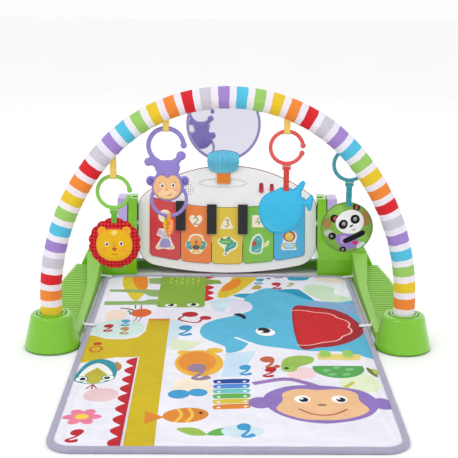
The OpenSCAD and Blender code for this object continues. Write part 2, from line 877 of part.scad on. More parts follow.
module monkey_charms() {
    bar = tail_rod + 1;
    z = tail_z - tail_r;
    color("#f09c34") {
        toy_strap(charm_x, arch_y + 1, z - 8, z, bar, 8);
        translate([charm_x, 0, z - 22]) slab(arch_y - 4.5, arch_y - 3) polygon(oval(6, 15, 24));
        translate([charm_x, 0, z - 22]) slab(arch_y + 4.5, arch_y + 6) polygon(oval(6, 15, 24));
        translate([charm_x - 4, arch_y - 4.4, z - 9]) cube([8, 10, 1]);
    }
}

module elephant_ring() color("#dd4242") snap_ring(elephant_x, arch_y, elephant_ring_z);
module elephant() {
    top = elephant_ring_z - bar_drop;
    color("#2fb3dd") {
        puffy(elephant_x - 8, arch_y, elephant_z - 5, 39, 13);
        translate([elephant_x + 15, 0, elephant_z + 14]) rotate([0, 14, 0])
            slab(arch_y - 4, arch_y + 4) polygon(slot_outline(15, 62));
        translate([elephant_x + 32, 0, elephant_z - 6]) rotate([0, 62, 0])
            slab(arch_y - 3.5, arch_y + 3.5) polygon(slot_outline(13, 34));
        toy_strap(elephant_x, arch_y, elephant_z + 18, top, strap_bar, 9);
    }
}

module panda_ring() color("#2f9fb0") snap_ring(panda_x, panda_y, panda_ring_z);
module panda() {
    color("#7fc242") {
        puffy(panda_x - 2, panda_y, panda_z, panda_r, 13);
        toy_strap(panda_x, panda_y, panda_z + panda_r - 12, panda_ring_z - bar_drop, strap_bar, 9);
    }
}

mat();
mat_loops();
wing_left();
wing_right();
cup_left();
cup_right();
tower_left();
tower_right();
socket_left();
socket_right();
base_cover_left();
base_cover_right();
rear_bar();
floor_pads();
base_screws();
latch_left();
latch_right();
piano_front();
piano_trim();
piano_back();
piano_screws();
black_keys();
key_rod();
key_domes();
key_board();
main_board();
speaker();
battery_cells();
battery_door();
key_cap(0);  // key_1
key_cap(1);  // key_2
key_cap(2);  // key_3
key_cap(3);  // key_4
key_cap(4);  // key_5
power_slider();
volume_slider();
mirror_rim();
mirror_glass();
mirror_back();
mirror_holder();
mirror_strap();
holder_flap();
tube_left();
tube_right();
tube_joiner();
arch_sleeve();
toy_ribbons();
lion_ring();
lion();
monkey();
monkey_face();
monkey_charms();
elephant_ring();
elephant();
panda_ring();
panda();
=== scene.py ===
"""Looks of the activity play gym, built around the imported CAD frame.

Places are in metres, in the frame of the CAD model: X across the mat, +Y towards the
piano, +Z up, with the origin on the floor in the middle of the footprint. Outlines drawn
on a plane, such as prints and the piano's face, are in millimetres."""
import math

import bmesh
import bpy
import numpy as np
from mathutils import Matrix, Vector, geometry, noise
from mathutils.bvhtree import BVHTree


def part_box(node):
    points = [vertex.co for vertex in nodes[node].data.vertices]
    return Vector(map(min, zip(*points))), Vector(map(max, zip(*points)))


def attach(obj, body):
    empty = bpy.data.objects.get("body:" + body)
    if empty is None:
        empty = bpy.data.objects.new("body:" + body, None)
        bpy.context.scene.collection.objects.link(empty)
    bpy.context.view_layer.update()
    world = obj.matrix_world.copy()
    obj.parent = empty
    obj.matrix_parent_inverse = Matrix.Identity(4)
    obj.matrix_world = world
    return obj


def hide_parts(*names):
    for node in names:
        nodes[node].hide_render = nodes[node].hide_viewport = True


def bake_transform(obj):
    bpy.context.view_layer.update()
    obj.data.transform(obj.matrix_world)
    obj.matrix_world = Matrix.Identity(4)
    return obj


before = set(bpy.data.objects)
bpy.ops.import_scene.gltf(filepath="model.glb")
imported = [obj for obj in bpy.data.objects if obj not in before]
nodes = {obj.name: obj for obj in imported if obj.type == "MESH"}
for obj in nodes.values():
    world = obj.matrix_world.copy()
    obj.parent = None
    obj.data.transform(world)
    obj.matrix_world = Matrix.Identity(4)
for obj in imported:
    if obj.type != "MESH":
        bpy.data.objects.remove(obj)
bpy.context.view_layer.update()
MM = 0.001
TAU = 2 * math.pi


# ---------- Places that come from the frame ----------

def middle(node):
    """Centre of a CAD node's box."""
    low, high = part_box(node)
    return (low + high) / 2


ARCH_Y = middle("arch_sleeve").y
LEG_X = middle("socket_right").x
ARCH_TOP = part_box("arch_sleeve")[1].z
LEAN = math.radians(13)


# ---------- Colours and materials ----------

def srgb(code):
    """Linear colour of a hex code."""
    parts = [int(code[i:i + 2], 16) / 255 for i in (0, 2, 4)]
    linear = [c / 12.92 if c <= 0.04045 else ((c + 0.055) / 1.055) ** 2.4 for c in parts]
    return (*linear, 1.0)


class Build:
    """A node material under construction."""

    def __init__(self, name):
        self.mat = bpy.data.materials.new(name)
        self.mat.use_nodes = True
        self.tree = self.mat.node_tree
        self.bsdf = self.tree.nodes["Principled BSDF"]
        coords = self.node("ShaderNodeTexCoord")
        self.place = coords.outputs["Object"]

    def node(self, kind, **values):
        made = self.tree.nodes.new(kind)
        for key, value in values.items():
            setattr(made, key, value)
        return made

    def link(self, a, b):
        self.tree.links.new(a, b)

    def set(self, **values):
        for key, value in values.items():
            self.bsdf.inputs[key.replace("_", " ")].default_value = value
        return self

    def noise(self, scale, detail=3.0, rough=0.5):
        n = self.node("ShaderNodeTexNoise")
        n.inputs["Scale"].default_value = scale
        n.inputs["Detail"].default_value = detail
        n.inputs["Roughness"].default_value = rough
        self.link(self.place, n.inputs["Vector"])
        return n.outputs["Fac"]

    def wave(self, pitch, axis, distortion):
        """Bands along one axis, one per pitch."""
        n = self.node("ShaderNodeTexWave", wave_type="BANDS", bands_direction=axis)
        n.inputs["Scale"].default_value = TAU / (20 * pitch)
        n.inputs["Distortion"].default_value = distortion
        self.link(self.place, n.inputs["Vector"])
        return n.outputs["Fac"]

    def math(self, kind, a, b):
        n = self.node("ShaderNodeMath", operation=kind)
        for i, x in enumerate((a, b)):
            if isinstance(x, (int, float)):
                n.inputs[i].default_value = x
            else:
                self.link(x, n.inputs[i])
        return n.outputs[0]

    def mapped(self, fac, low, high, start=0.3, end=0.7):
        """fac carried from start..end to low..high."""
        n = self.node("ShaderNodeMapRange")
        for key, value in (("From Min", start), ("From Max", end), ("To Min", low), ("To Max", high)):
            n.inputs[key].default_value = value
        self.link(fac, n.inputs["Value"])
        return n.outputs["Result"]

    def shade(self, colour, fac, dark, light, start=0.3, end=0.7):
        """colour, a socket or a tuple, made darker where fac is low."""
        m = self.node("ShaderNodeVectorMath", operation="SCALE")
        if isinstance(colour, tuple):
            m.inputs[0].default_value = colour[:3]
        else:
            self.link(colour, m.inputs[0])
        self.link(self.mapped(fac, dark, light, start, end), m.inputs["Scale"])
        return m.outputs[0]

    def colour(self, socket):
        self.link(socket, self.bsdf.inputs["Base Color"])
        return self

    def bump(self, height, depth):
        """Relief of the given depth in metres."""
        n = self.node("ShaderNodeBump")
        n.inputs["Distance"].default_value = depth
        n.inputs["Strength"].default_value = 1.0
        self.link(height, n.inputs["Height"])
        self.link(n.outputs["Normal"], self.bsdf.inputs["Normal"])
        return self

    def roughness(self, fac, low, high):
        self.link(self.mapped(fac, low, high), self.bsdf.inputs["Roughness"])
        return self


def plastic(name, code, rough, coat):
    """Moulded plastic: faint clouding, a fine surface grain and uneven gloss."""
    b = Build(name)
    cloud = b.noise(9.0, 2.0)
    fine = b.noise(1400.0, 2.0)
    b.colour(b.shade(srgb(code), cloud, 0.95, 1.0))
    b.roughness(b.noise(60.0, 4.0), rough * 0.85, rough * 1.25)
    b.bump(fine, 0.00002)
    b.set(Coat_Weight=coat, Coat_Roughness=0.12, IOR=1.49)
    return b.mat


def textured_plastic(name, code):
    """Satin moulded plastic with a spark-eroded texture."""
    b = Build(name)
    grit = b.noise(900.0, 4.0, 0.7)
    b.colour(b.shade(srgb(code), b.noise(7.0, 2.0), 0.97, 1.0))
    b.roughness(grit, 0.42, 0.6)
    b.bump(grit, 0.00012)
    return b.mat


def metal(name, code):
    b = Build(name)
    b.colour(b.shade(srgb(code), b.noise(200.0, 3.0), 0.85, 1.0))
    b.roughness(b.noise(700.0, 3.0), 0.25, 0.4)
    b.bump(b.wave(0.0004, "X", 3.0), 0.00002)
    b.set(Metallic=1.0)
    return b.mat


def rubber(name, code):
    b = Build(name)
    b.colour(b.shade(srgb(code), b.noise(120.0, 4.0), 0.85, 1.05))
    b.roughness(b.noise(300.0, 3.0), 0.6, 0.8)
    b.bump(b.noise(1500.0, 3.0), 0.00006)
    return b.mat


def weave_height(b, pitch):
    """Over-and-under threads in all three directions, so that no UV map is needed."""
    x = b.wave(pitch, "X", 0.4)
    y = b.wave(pitch, "Y", 0.4)
    z = b.wave(pitch, "Z", 0.4)
    return b.math("ADD", b.math("MAXIMUM", x, y), b.math("MULTIPLY", z, 0.7))


def fabric(name, code, pitch, depth, sheen=0.25, rough=0.85, dark=0.86):
    """Woven cloth of one colour, with painted shade in the hollows between its threads."""
    b = Build(name)
    threads = weave_height(b, pitch)
    tone = b.shade(srgb(code), b.noise(45.0, 4.0), 0.94, 1.03)
    # The hollows between the threads are darkened as painted shade; dark sets how deep that painted shade
    # goes.
    b.colour(b.shade(tone, threads, dark, 1.0, 0.5, 1.5))
    b.bump(threads, depth)
    b.set(Roughness=rough, Sheen_Weight=sheen, Sheen_Roughness=0.5, Specular_IOR_Level=0.3)
    return b.mat


def printed(name, sheen, pitch=0.0010, depth=0.0001, rough=0.8):
    """Woven cloth that takes its colours from the mesh's "print" attribute, with painted shade in the
    hollows between its threads.
    """
    b = Build(name)
    ink = b.node("ShaderNodeAttribute", attribute_name="print")
    threads = weave_height(b, pitch)
    tone = b.shade(ink.outputs["Color"], b.noise(60.0, 3.0), 0.96, 1.02)
    # The hollows between the threads are darkened as painted shade.
    b.colour(b.shade(tone, threads, 0.9, 1.0, 0.5, 1.5))
    b.bump(threads, depth)
    b.set(Roughness=rough, Sheen_Weight=sheen, Sheen_Roughness=0.5, Specular_IOR_Level=0.15)
    return b.mat


def sticker(name):
    """Glossy printed film that takes its colours from the "print" attribute."""
    b = Build(name)
    ink = b.node("ShaderNodeAttribute", attribute_name="print")
    b.colour(b.shade(ink.outputs["Color"], b.noise(80.0, 2.0), 0.97, 1.0))
    b.roughness(b.noise(200.0, 3.0), 0.25, 0.38)
    b.bump(b.noise(900.0, 2.0), 0.00001)
    b.set(Coat_Weight=0.3, Coat_Roughness=0.15)
    return b.mat


def mirror_film(name):
    b = Build(name)
    b.colour(b.shade(srgb("e2e2ee"), b.noise(6.0, 1.0), 0.97, 1.0))
    b.roughness(b.noise(30.0, 2.0), 0.02, 0.05)
    b.bump(b.noise(14.0, 1.0), 0.00003)
    b.set(Metallic=1.0)
    return b.mat


GREEN = plastic("green_gloss", "74bd08", 0.22, 0.5)
RIBBED = textured_plastic("green_satin", "86bd45")
DARK_GREEN = textured_plastic("green_dark", "4f9410")
LAVENDER = plastic("lavender", "b3a3d6", 0.3, 0.3)
WHITE = plastic("white_shell", "f1f0f2", 0.22, 0.4)
HOUSING = textured_plastic("white_housing", "d8d7da")
TRIM = plastic("trim_red", "8c2437", 0.35, 0.1)
BLACK = plastic("black_key", "070606", 0.35, 0.05)
# Greyish pink of the line at the recess's lower lip, which is painted shade.
RECESS_SHADE = plastic("recess_lip_shade", "c9bcc6", 0.4, 0.1)
LOUVRE = textured_plastic("rear_louvre", "b6b7bc")
SLIDER = plastic("slider_red", "c21d35", 0.25, 0.4)
STEEL = metal("screw_steel", "c3c5c9")
PAD = rubber("floor_rubber", "3d4043")
SILICONE = rubber("silicone", "c9ccd2")
BOARD = textured_plastic("circuit_board", "2c7a4b")
CONE = textured_plastic("speaker_cone", "2b2d30")
CELL = plastic("battery_wrap", "3f6f8f", 0.3, 0.2)
MIRROR = mirror_film("mirror_film")
RIM = plastic("rim_lavender", "8f84ba", 0.35, 0.2)
TUBE = textured_plastic("arch_tube", "e4e4e2")
KEY_INKS = {"red": "d2343d", "orange": "ee7f2d", "yellow": "e2c22c", "green": "7abf35", "blue": "41aee0"}
KEY_MATERIALS = [plastic("key_" + name, code, 0.2, 0.5) for name, code in KEY_INKS.items()]
RING_GREEN = plastic("ring_green", "79c43a", 0.22, 0.4)
RING_RED = plastic("ring_red", "dc4644", 0.22, 0.4)
RING_TEAL = plastic("ring_teal", "2c93a6", 0.22, 0.4)
PURPLE = plastic("monkey_purple", "8a78c6", 0.28, 0.3)
ORANGE_WEB = fabric("orange_webbing", "f0832f", 0.0014, 0.0002)
BLUE_CLOTH = fabric("blue_cloth", "70d2f5", 0.0009, 0.0001, 0.4)
RIBBON = fabric("yellow_ribbon", "f3cd5f", 0.0006, 0.00006, 0.5, 0.5)
TAB = fabric("white_tab", "e8e9ee", 0.0009, 0.0001)
PRINT = printed("printed_cloth", 0.03)
LION_EDGE = fabric("lion_edge", "c4242c", 0.0008, 0.0001)
PANDA_EDGE = fabric("panda_edge", "6d9a48", 0.0008, 0.0001)
ELEPHANT_EDGE = fabric("elephant_edge", "2ea9d6", 0.0008, 0.0001)
RING_GREEN_WEB = fabric("green_webbing", "6fb93a", 0.0009, 0.0001)
RING_RED_WEB = fabric("red_webbing", "d5463c", 0.0009, 0.0001)
RING_TEAL_WEB = fabric("teal_webbing", "35a0ae", 0.0009, 0.0001)
CHARM_CORD = fabric("charm_cloth", "f0a13c", 0.0008, 0.0001)
ELEPHANT_SKIN = printed("elephant_skin", 0.1, 0.0009, 0.00005, 0.55)
# Its last argument, 0.8, deepens the painted shade between the binding's threads.
BINDING_CLOTH = fabric("mat_binding", "aeabc4", 0.0022, 0.0004, 0.3, 0.9, 0.8)
STICKER = sticker("sticker_film")


def paint(node, material, bevel=0.0, segments=2):
    """Gives a CAD node its material and, if asked, softened edges."""
    ob = nodes[node]
    ob.data.materials.clear()
    ob.data.materials.append(material)
    for face in ob.data.polygons:
        face.use_smooth = True
    if bevel:
        m = ob.modifiers.new("soft_edges", "BEVEL")
        m.width = bevel
        m.segments = segments
        m.limit_method = "ANGLE"
        m.angle_limit = math.radians(30)
        m.harden_normals = True


# ---------- CAD pieces that keep their own shape ----------

for side in ("left", "right"):
    paint("wing_" + side, RIBBED, 0.0008)
    paint("cup_" + side, GREEN, 0.001, 3)
    paint("tower_" + side, GREEN, 0.003, 3)
    paint("socket_" + side, GREEN, 0.0006)
    paint("base_cover_" + side, DARK_GREEN, 0.0006)
    paint("latch_" + side, LAVENDER, 0.0025, 3)
    paint("tube_" + side, TUBE)
for node, material, bevel in (
    ("rear_bar", DARK_GREEN, 0.001), ("floor_pads", PAD, 0.0004), ("base_screws", STEEL, 0.0002),
    ("piano_front", WHITE, 0.0012), ("piano_trim", TRIM, 0.0004), ("piano_back", HOUSING, 0.002),
    ("piano_screws", STEEL, 0.0002), ("black_keys", BLACK, 0.0018), ("key_rod", STEEL, 0.0002),
    ("key_domes", SILICONE, 0.0006), ("key_board", BOARD, 0.0002), ("main_board", BOARD, 0.0002),
    ("speaker", CONE, 0.0006), ("battery_cells", CELL, 0.0005), ("battery_door", HOUSING, 0.0006),
    ("power_slider", SLIDER, 0.0008), ("volume_slider", SLIDER, 0.0008), ("mirror_rim", RIM, 0.0016),
    ("mirror_glass", MIRROR, 0.0003), ("mirror_back", RIM, 0.0006), ("tube_joiner", TUBE, 0.0005),
    ("lion_ring", RING_GREEN, 0.0007), ("elephant_ring", RING_RED, 0.0007),
    ("panda_ring", RING_TEAL, 0.0007),
):
    paint(node, material, bevel, 3)
for i, material in enumerate(KEY_MATERIALS):
    paint(f"key_{i + 1}", material, 0.0018, 3)


# ---------- Outlines, in millimetres on a plane ----------

def ellipse(cx, cy, rx, ry, turn=0, n=22):
    c, s = math.cos(math.radians(turn)), math.sin(math.radians(turn))
    points = []
    for i in range(n):
        x, y = rx * math.cos(TAU * i / n), ry * math.sin(TAU * i / n)
        points.append((cx + x * c - y * s, cy + x * s + y * c))
    return points


def arc_points(cx, cy, r, a0, a1, flat=1.0, n=12):
    """Arc from angle a0 to a1 in degrees, its height scaled by flat."""
    angles = [math.radians(a0 + (a1 - a0) * i / n) for i in range(n + 1)]
    return [(cx + r * math.cos(a), cy + r * flat * math.sin(a)) for a in angles]


def spline(points, steps=5, closed=True):
    """Catmull-Rom curve through the points."""
    n = len(points)
    out = []
    for i in range(n if closed else n - 1):
        if closed:
            p = [Vector(points[(i + k - 1) % n]) for k in range(4)]
        else:
            p = [Vector(points[min(max(i + k - 1, 0), n - 1)]) for k in range(4)]
        for j in range(steps):
            t = j / steps
            bend = 2 * p[0] - 5 * p[1] + 4 * p[2] - p[3]
            twist = 3 * p[1] - p[0] - 3 * p[2] + p[3]
            out.append(0.5 * (2 * p[1] + (p[2] - p[0]) * t + bend * t * t + twist * t ** 3))
    if not closed:
        out.append(Vector(points[-1]))
    return [tuple(v) for v in out]


def stroke(points, width, steps=4, taper=1.0):
    """Outline of a line of the given width along a curve, its far end scaled by taper."""
    line = spline(points, steps, closed=False)
    left, right = [], []
    last = len(line) - 1
    for i, (x, y) in enumerate(line):
        (ax, ay), (bx, by) = line[max(i - 1, 0)], line[min(i + 1, last)]
        length = math.hypot(bx - ax, by - ay) or 1
        half = width / 2 * (1 + (taper - 1) * i / last)
        nx, ny = (by - ay) / length * half, (bx - ax) / length * half
        left.append((x - nx, y + ny))
        right.append((x + nx, y - ny))
    return left + right[::-1]


def even(outline, step):
    """Closed outline with extra points along its long sides."""
    out = []
    for (ax, ay), (bx, by) in zip(outline, outline[1:] + outline[:1]):
        n = max(1, round(math.hypot(bx - ax, by - ay) / step))
        out += [(ax + (bx - ax) * k / n, ay + (by - ay) * k / n) for k in range(n)]
    return out


def placed(points, x, y, size, turn):
    c, s = math.cos(math.radians(turn)) * size, math.sin(math.radians(turn)) * size
    return [(x + u * c - v * s, y + u * s + v * c) for u, v in points]


# ---------- Meshes ----------

def mesh_piece(name, verts, faces, materials, colours=None):
    """New piece from vertices and faces; colours are the faces' print colours."""
    mesh = bpy.data.meshes.new(name)
    mesh.from_pydata(verts, [], faces)
    for material in materials if isinstance(materials, (list, tuple)) else [materials]:
        mesh.materials.append(material)
    if colours is not None:
        counts = [len(f) for f in faces]
        layer = mesh.color_attributes.new("print", "FLOAT_COLOR", "CORNER")
        values = np.repeat(np.array(colours, dtype=np.float32), counts, axis=0)
        layer.data.foreach_set("color", values.ravel())
    mesh.polygons.foreach_set("use_smooth", [True] * len(faces))
    mesh.update()
    piece = bpy.data.objects.new(name, mesh)
    bpy.context.scene.collection.objects.link(piece)
    return piece


def face_outwards(piece, up=None):
    """Turns the faces outwards, or the first one towards up on an open mesh."""
    bm = bmesh.new()
    bm.from_mesh(piece.data)
    bmesh.ops.recalc_face_normals(bm, faces=bm.faces)
    if up is not None and bm.faces[0].normal.dot(up) < 0:
        bmesh.ops.reverse_faces(bm, faces=bm.faces)
    bm.to_mesh(piece.data)
    bm.free()


class Print:
    """Layers of flat colour on a plane, cut so that no face crosses a colour's edge."""

    def __init__(self, border, ground):
        self.border = border
        self.shapes = [border]
        self.colours = [srgb(ground)]

    def ink(self, colour, *outlines):
        for outline in outlines:
            self.shapes.append(outline)
            self.colours.append(srgb(colour))

    def cut(self, spacing):
        """Points, triangles and their colours, with extra points at the given spacing."""
        points, faces = [], []
        for shape in self.shapes:
            loop = [Vector(p) for p in shape]
            turn = sum(a.x * b.y - b.x * a.y for a, b in zip(loop, loop[1:] + loop[:1]))
            faces.append(list(range(len(points), len(points) + len(loop))))
            points += loop if turn > 0 else loop[::-1]
        xs, ys = zip(*self.border)
        for i in range(int((max(xs) - min(xs)) / spacing)):
            for j in range(int((max(ys) - min(ys)) / spacing)):
                shift = 0.5 if j % 2 else 0.0
                x, y = min(xs) + (i + 0.3 + shift) * spacing, min(ys) + (j + 0.5) * spacing
                points.append(Vector((x, y)))
        out, _, triangles, _, _, sources = geometry.delaunay_2d_cdt(points, [], faces, 1, 1e-3, True)
        kept, colours = [], []
        for triangle, source in zip(triangles, sources):
            if 0 in source:
                kept.append(list(triangle))
                colours.append(self.colours[max(source)])
        used = sorted({i for t in kept for i in t})
        new = {old: i for i, old in enumerate(used)}
        return [tuple(out[i]) for i in used], [[new[i] for i in t] for t in kept], colours


def sweep(name, path, normal, profile, materials, closed=False):
    """Piece whose cross-section profile(i) is carried along a path in the plane across normal.
    A cross-section is a list of (side, up) offsets in metres; up is along normal."""
    n = len(path)
    normal = Vector(normal).normalized()
    verts, faces = [], []
    size = 0
    for i, p in enumerate(path):
        before = path[i - 1] if closed or i else p
        after = path[(i + 1) % n] if closed or i < n - 1 else p
        side = (Vector(after) - Vector(before)).normalized().cross(normal)
        section = profile(i)
        size = len(section)
        verts += [Vector(p) + side * u + normal * v for u, v in section]
    for i in range(n if closed else n - 1):
        for k in range(size):
            a, b = i * size + k, i * size + (k + 1) % size
            c, d = (i + 1) % n * size + (k + 1) % size, (i + 1) % n * size + k
            faces.append((a, b, c, d))
    if not closed:
        for i, ring in ((0, range(size)), (n - 1, range(size - 1, -1, -1))):
            faces.append([i * size + k for k in ring])
    return mesh_piece(name, [tuple(v) for v in verts], faces, materials)


def oval_section(half_u, half_v, n, power=1.0):
    """Cross-section with rounded corners; power below 1 makes it squarer."""
    section = []
    for k in range(n):
        a = TAU * k / n
        c, s = math.cos(a), math.sin(a)
        u, v = half_u * math.copysign(abs(c) ** power, c), half_v * math.copysign(abs(s) ** power, s)
        section.append((u, v))
    return section


def finish_piece(piece, body, replaces=()):
    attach(piece, body)
    if replaces:
        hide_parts(*replaces)
    return piece


def moulding(name, path, normal, size, material, body, closed=False, replaces=()):
    """Finished cord or bead of one oval cross-section; size holds what oval_section takes."""
    section = oval_section(*size)
    cord = sweep(name, path, normal, lambda i: section, material, closed)
    return finish_piece(cord, body, replaces)


# ---------- Play mat ----------

MAT_LOW, MAT_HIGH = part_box("mat")
MAT_X = MAT_HIGH.x / MM
MAT_Y0, MAT_Y1 = MAT_LOW.y / MM, MAT_HIGH.y / MM
MAT_CORNER = 38
BINDING = 5.5


def mat_border(inset):
    """Outline of the mat, drawn in by inset."""
    r = MAT_CORNER - inset
    x, y0, y1 = MAT_X - MAT_CORNER, MAT_Y0 + MAT_CORNER, MAT_Y1 - MAT_CORNER
    corners = ((x, y0, -90), (x, y1, 0), (-x, y1, 90), (-x, y0, 180))
    return [p for cx, cy, a in corners for p in arc_points(cx, cy, r, a, a + 90, 1, 8)]


def mat_inset(x, y):
    """Distance from a point to the mat's edge."""
    dx = abs(x) - (MAT_X - MAT_CORNER)
    dy = abs(y - (MAT_Y0 + MAT_Y1) / 2) - ((MAT_Y1 - MAT_Y0) / 2 - MAT_CORNER)
    return MAT_CORNER - math.hypot(max(dx, 0), max(dy, 0)) - min(max(dx, dy), 0)


def mat_height(x, y):
    """Top of the padding, with soft waves and small puckers beside the binding."""
    inset = mat_inset(x, y) - BINDING
    rise = 1 - math.exp(-max(inset, 0) / 11)
    wave = noise.noise(Vector((x * 0.011, y * 0.009, 0.3)))
    ripple = noise.noise(Vector((x * 0.045, y * 0.04, 2.1)))
    pucker = noise.noise(Vector((x * 0.12, y * 0.12, 5.0))) * math.exp(-max(inset, 0) / 20)
    return 5.6 + 3.2 * rise + 1.0 * wave * rise + 0.4 * ripple * rise + 0.6 * pucker


def note(p, colour, x, y, size, turn=0):
    """Musical note hanging down, with its head on top."""
    p.ink(colour, placed(ellipse(0, 0, 10, 12, -20), x, y, size, turn))
    p.ink(colour, placed(stroke([(7, -4), (2, -17), (-6, -27)], 5), x, y, size, turn))
    hook = spline([(-8, -25), (-1, -29), (8, -23), (11, -32), (0, -37), (-9, -33)])
    p.ink(colour, placed(hook, x, y, size, turn))


def scallops(p, colour, x, y0, y1, count, r):
    """Row of half rounds with a straight edge at x, from y0 down to y1."""
    pitch = (y0 - y1) / count
    points = [(x, y0)]
    for i in range(count):
        for k in range(1, 6):
            points.append((x + r * math.sin(math.pi * k / 6) ** 0.7, y0 - pitch * (i + k / 6)))
        points.append((x + r * 0.25, y0 - pitch * (i + 1)))
    p.ink(colour, points + [(x, y1)])


def wavy_arc(cx, cy, rx, ry):
    """Scalloped half round, open to the left."""
    out = []
    for i in range(33):
        a = math.radians(-92 + 184 * i / 32)
        r = 1 + 0.035 * abs(math.sin(5.5 * a)) * 2
        out.append((cx + rx * r * math.cos(a), cy + ry * r * math.sin(a)))
    return out


def mat_print():
    p = Print(mat_border(BINDING), "ebeaf4")
    # Pale patches of the ground
    p.ink("c9e0c3", spline([(157, 293), (189, 297), (212, 275), (212, 238), (239, 220), (235, 188),
        (198, 183), (173, 211), (153, 252)]))
    p.ink("efdcd2", [(189, 379), (244, 379), (235, 311), (180, 320)])
    p.ink("cfe4ee", [(-34, 188), (3, 218), (25, 197), (3, 156), (-9, 122), (-25, 134)])
    p.ink("e2dcf0", [(3, 188), (25, 202), (48, 165), (44, 134), (7, 115)])
    p.ink("f3dccb", ellipse(-206, 102, 20, 36))
    p.ink("cfe6e0", ellipse(-195, 29, 48, 50))
    p.ink("cfe3ee", [(-104, 79), (-79, 79), (-88, -39), (-104, -66)])
    p.ink("dde9c6", [(-97, -21), (-43, -39), (-70, -85), (-97, -75)])
    p.ink("c6dff2", [(-2, -89), (48, -80), (21, -194), (-11, -198)])
    p.ink("f3d3d6", spline([(116, -157), (139, -162), (139, -194), (112, -207), (94, -189)]))
    p.ink("f4e6cf", spline([(-81, -216), (-43, -203), (-25, -235), (-29, -270), (-79, -270)]))
    p.ink("e0ebc8", spline([(185, -194), (225, -185), (239, -235), (207, -262), (175, -230)]))
    # Pods behind the crocodile
    p.ink("dcc12f", spline([(-209, 375), (-172, 375), (-161, 325), (-159, 265), (-165, 220),
        (-177, 190), (-195, 234), (-211, 302)]))
    p.ink("e88a26", spline([(-195, 363), (-177, 361), (-162, 331), (-161, 268), (-174, 261),
        (-188, 302)]))
    p.ink("dcc12f", spline([(21, 375), (64, 375), (56, 329), (39, 284), (19, 243), (-2, 213),
        (-18, 213), (-17, 247), (-9, 284), (5, 320)]))
    p.ink("e88a26", spline([(21, 343), (29, 329), (23, 288), (5, 259), (-11, 251), (-10, 279),
        (3, 311)]))
    # Crocodile
    p.ink("8eae6a", [(-234, 265), (-188, 264), (-134, 261), (-134, 215), (-151, 218), (-165, 240),
        (-197, 245), (-231, 251)])
    p.ink("8eae6a", [(-235, 189), (-162, 190), (-151, 199), (-134, 200), (-134, 167), (-235, 167)])
    p.ink("8eae6a", [(-160, 339), (-134, 343), (-134, 297), (-157, 301)])
    p.ink("7da447", [(-43, 336), (-15, 327), (-10, 302), (-25, 302), (-43, 294)])
    corners = arc_points(-53, 161, 10, 0, -90) + arc_points(-124, 161, 10, -90, -180)
    p.ink("86ad3c", [(-134, 380), (-43, 380)] + corners)
    for i in range(6):
        for j in range(6):
            x, y = -118 + i * 11, 297 + j * 13
            up = [(x, y), (x + 9, y + 1), (x + 4, y + 10)]
            down = [(x, y + 10), (x + 9, y + 11), (x + 5, y + 2)]
            p.ink("a9cf5c", up if (i + j) % 2 else down)
    for x, y, glint in ((-107, 163, -3), (-65, 166, -4)):
        p.ink("f4f4ef", ellipse(x, y, 12, 10))
        p.ink("15191c", ellipse(x, y + 2, 6, 8))
        p.ink("ffffff", ellipse(x + glint, y + 5, 2, 2))
    scallops(p, "c8202f", -43, 295, 190, 3, 17)
    scallops(p, "c8202f", -43, 380, 337, 1, 17)
    # Big elephant
    p.ink("1f9cc0", spline([(11, 225), (25, 237), (48, 241), (55, 251), (62, 229), (48, 210),
        (31, 210)]))
    p.ink("57b4d6", spline([(32, 195), (39, 225), (54, 248), (78, 273), (107, 266), (139, 240),
        (167, 197), (212, 186), (266, 186), (266, -98), (189, -81), (139, -78), (94, -66), (57, -53),
        (39, -37), (34, -50), (21, -78), (-1, -87), (-4, -60), (-15, -46), (-31, -30), (-45, -7),
        (-49, 22), (-43, 52), (-25, 77), (3, 97), (23, 111), (44, 134), (47, 161), (41, 184)]))
    p.ink("1d93bb", spline([(100, 261), (135, 268), (145, 259), (167, 198), (146, 211), (125, 238)]))
    p.ink("7fa6cf", spline([(169, 190), (212, 184), (266, 186), (266, 156), (230, 115), (189, 152),
        (139, 156)]))
    p.ink("e6eef6", stroke([(13, -13), (30, -32), (44, -50)], 6))
    p.ink("a11a2b", spline([(123, 149), (162, 156), (200, 140), (225, 106), (241, 56), (239, 11),
        (216, -30), (185, -55), (157, -61), (122, -55)]))
    p.ink("c61a24", spline([(125, 134), (146, 137), (160, 140), (185, 127), (200, 106), (215, 79),
        (221, 43), (214, 6), (194, -25), (166, -41), (150, -43), (124, -37)]))
    p.ink("f3b9ae", stroke(wavy_arc(122, 43, 95, 88), 3))
    p.ink("f6f6f2", ellipse(67, 16, 17, 22, 15))
    p.ink("14181c", ellipse(65, 24, 11, 15, 10))
    p.ink("ffffff", ellipse(59, 18, 5, 4))
    p.ink("16222c", spline([(11, 109), (23, 117), (34, 97), (31, 84), (24, 96)]))
    # Notes
    p.ink("b9202f", stroke([(-79, 102), (-88, 79), (-56, 63), (-46, 86)], 5))
    p.ink("b9202f", ellipse(-69, 109, 15, 15))
    p.ink("b9202f", ellipse(-40, 90, 11, 11))
    note(p, "3a93c4", -75, 36, 1.15)
    note(p, "b5202d", -213, 44, 0.85)
    note(p, "4d9fc6", -185, 72, 0.8)
    note(p, "b98d57", -183, 29, 0.8)
    note(p, "c2603f", 65, -119, 1.2, 12)
    note(p, "3a98cc", 28, -155, 0.95)
    note(p, "b9202f", 69, -166, 0.9, -12)
    note(p, "b92a35", 99, 302, 0.95)
    note(p, "4a9cc8", 67, 331, 0.9, -10)
    note(p, "a6ad5a", 130, 304, 0.6, -20)
    # Small round bird
    p.ink("8a6a3a", stroke([(-202, 146), (-186, 143), (-172, 131)], 6))
    for x in (-174, -163):
        p.ink("5a3a2c", stroke([(x, 165), (x + 1, 143)], 2.2))
    p.ink("dc6228", ellipse(-160, 119, 19, 24, -8))
    p.ink("4a8f9c", stroke([(-186, 134), (-181, 121), (-180, 109)], 4))
    for x in (-166, -158):
        p.ink("a33320", stroke([(x, 95), (x - 2, 79), (x - 6, 69)], 2))
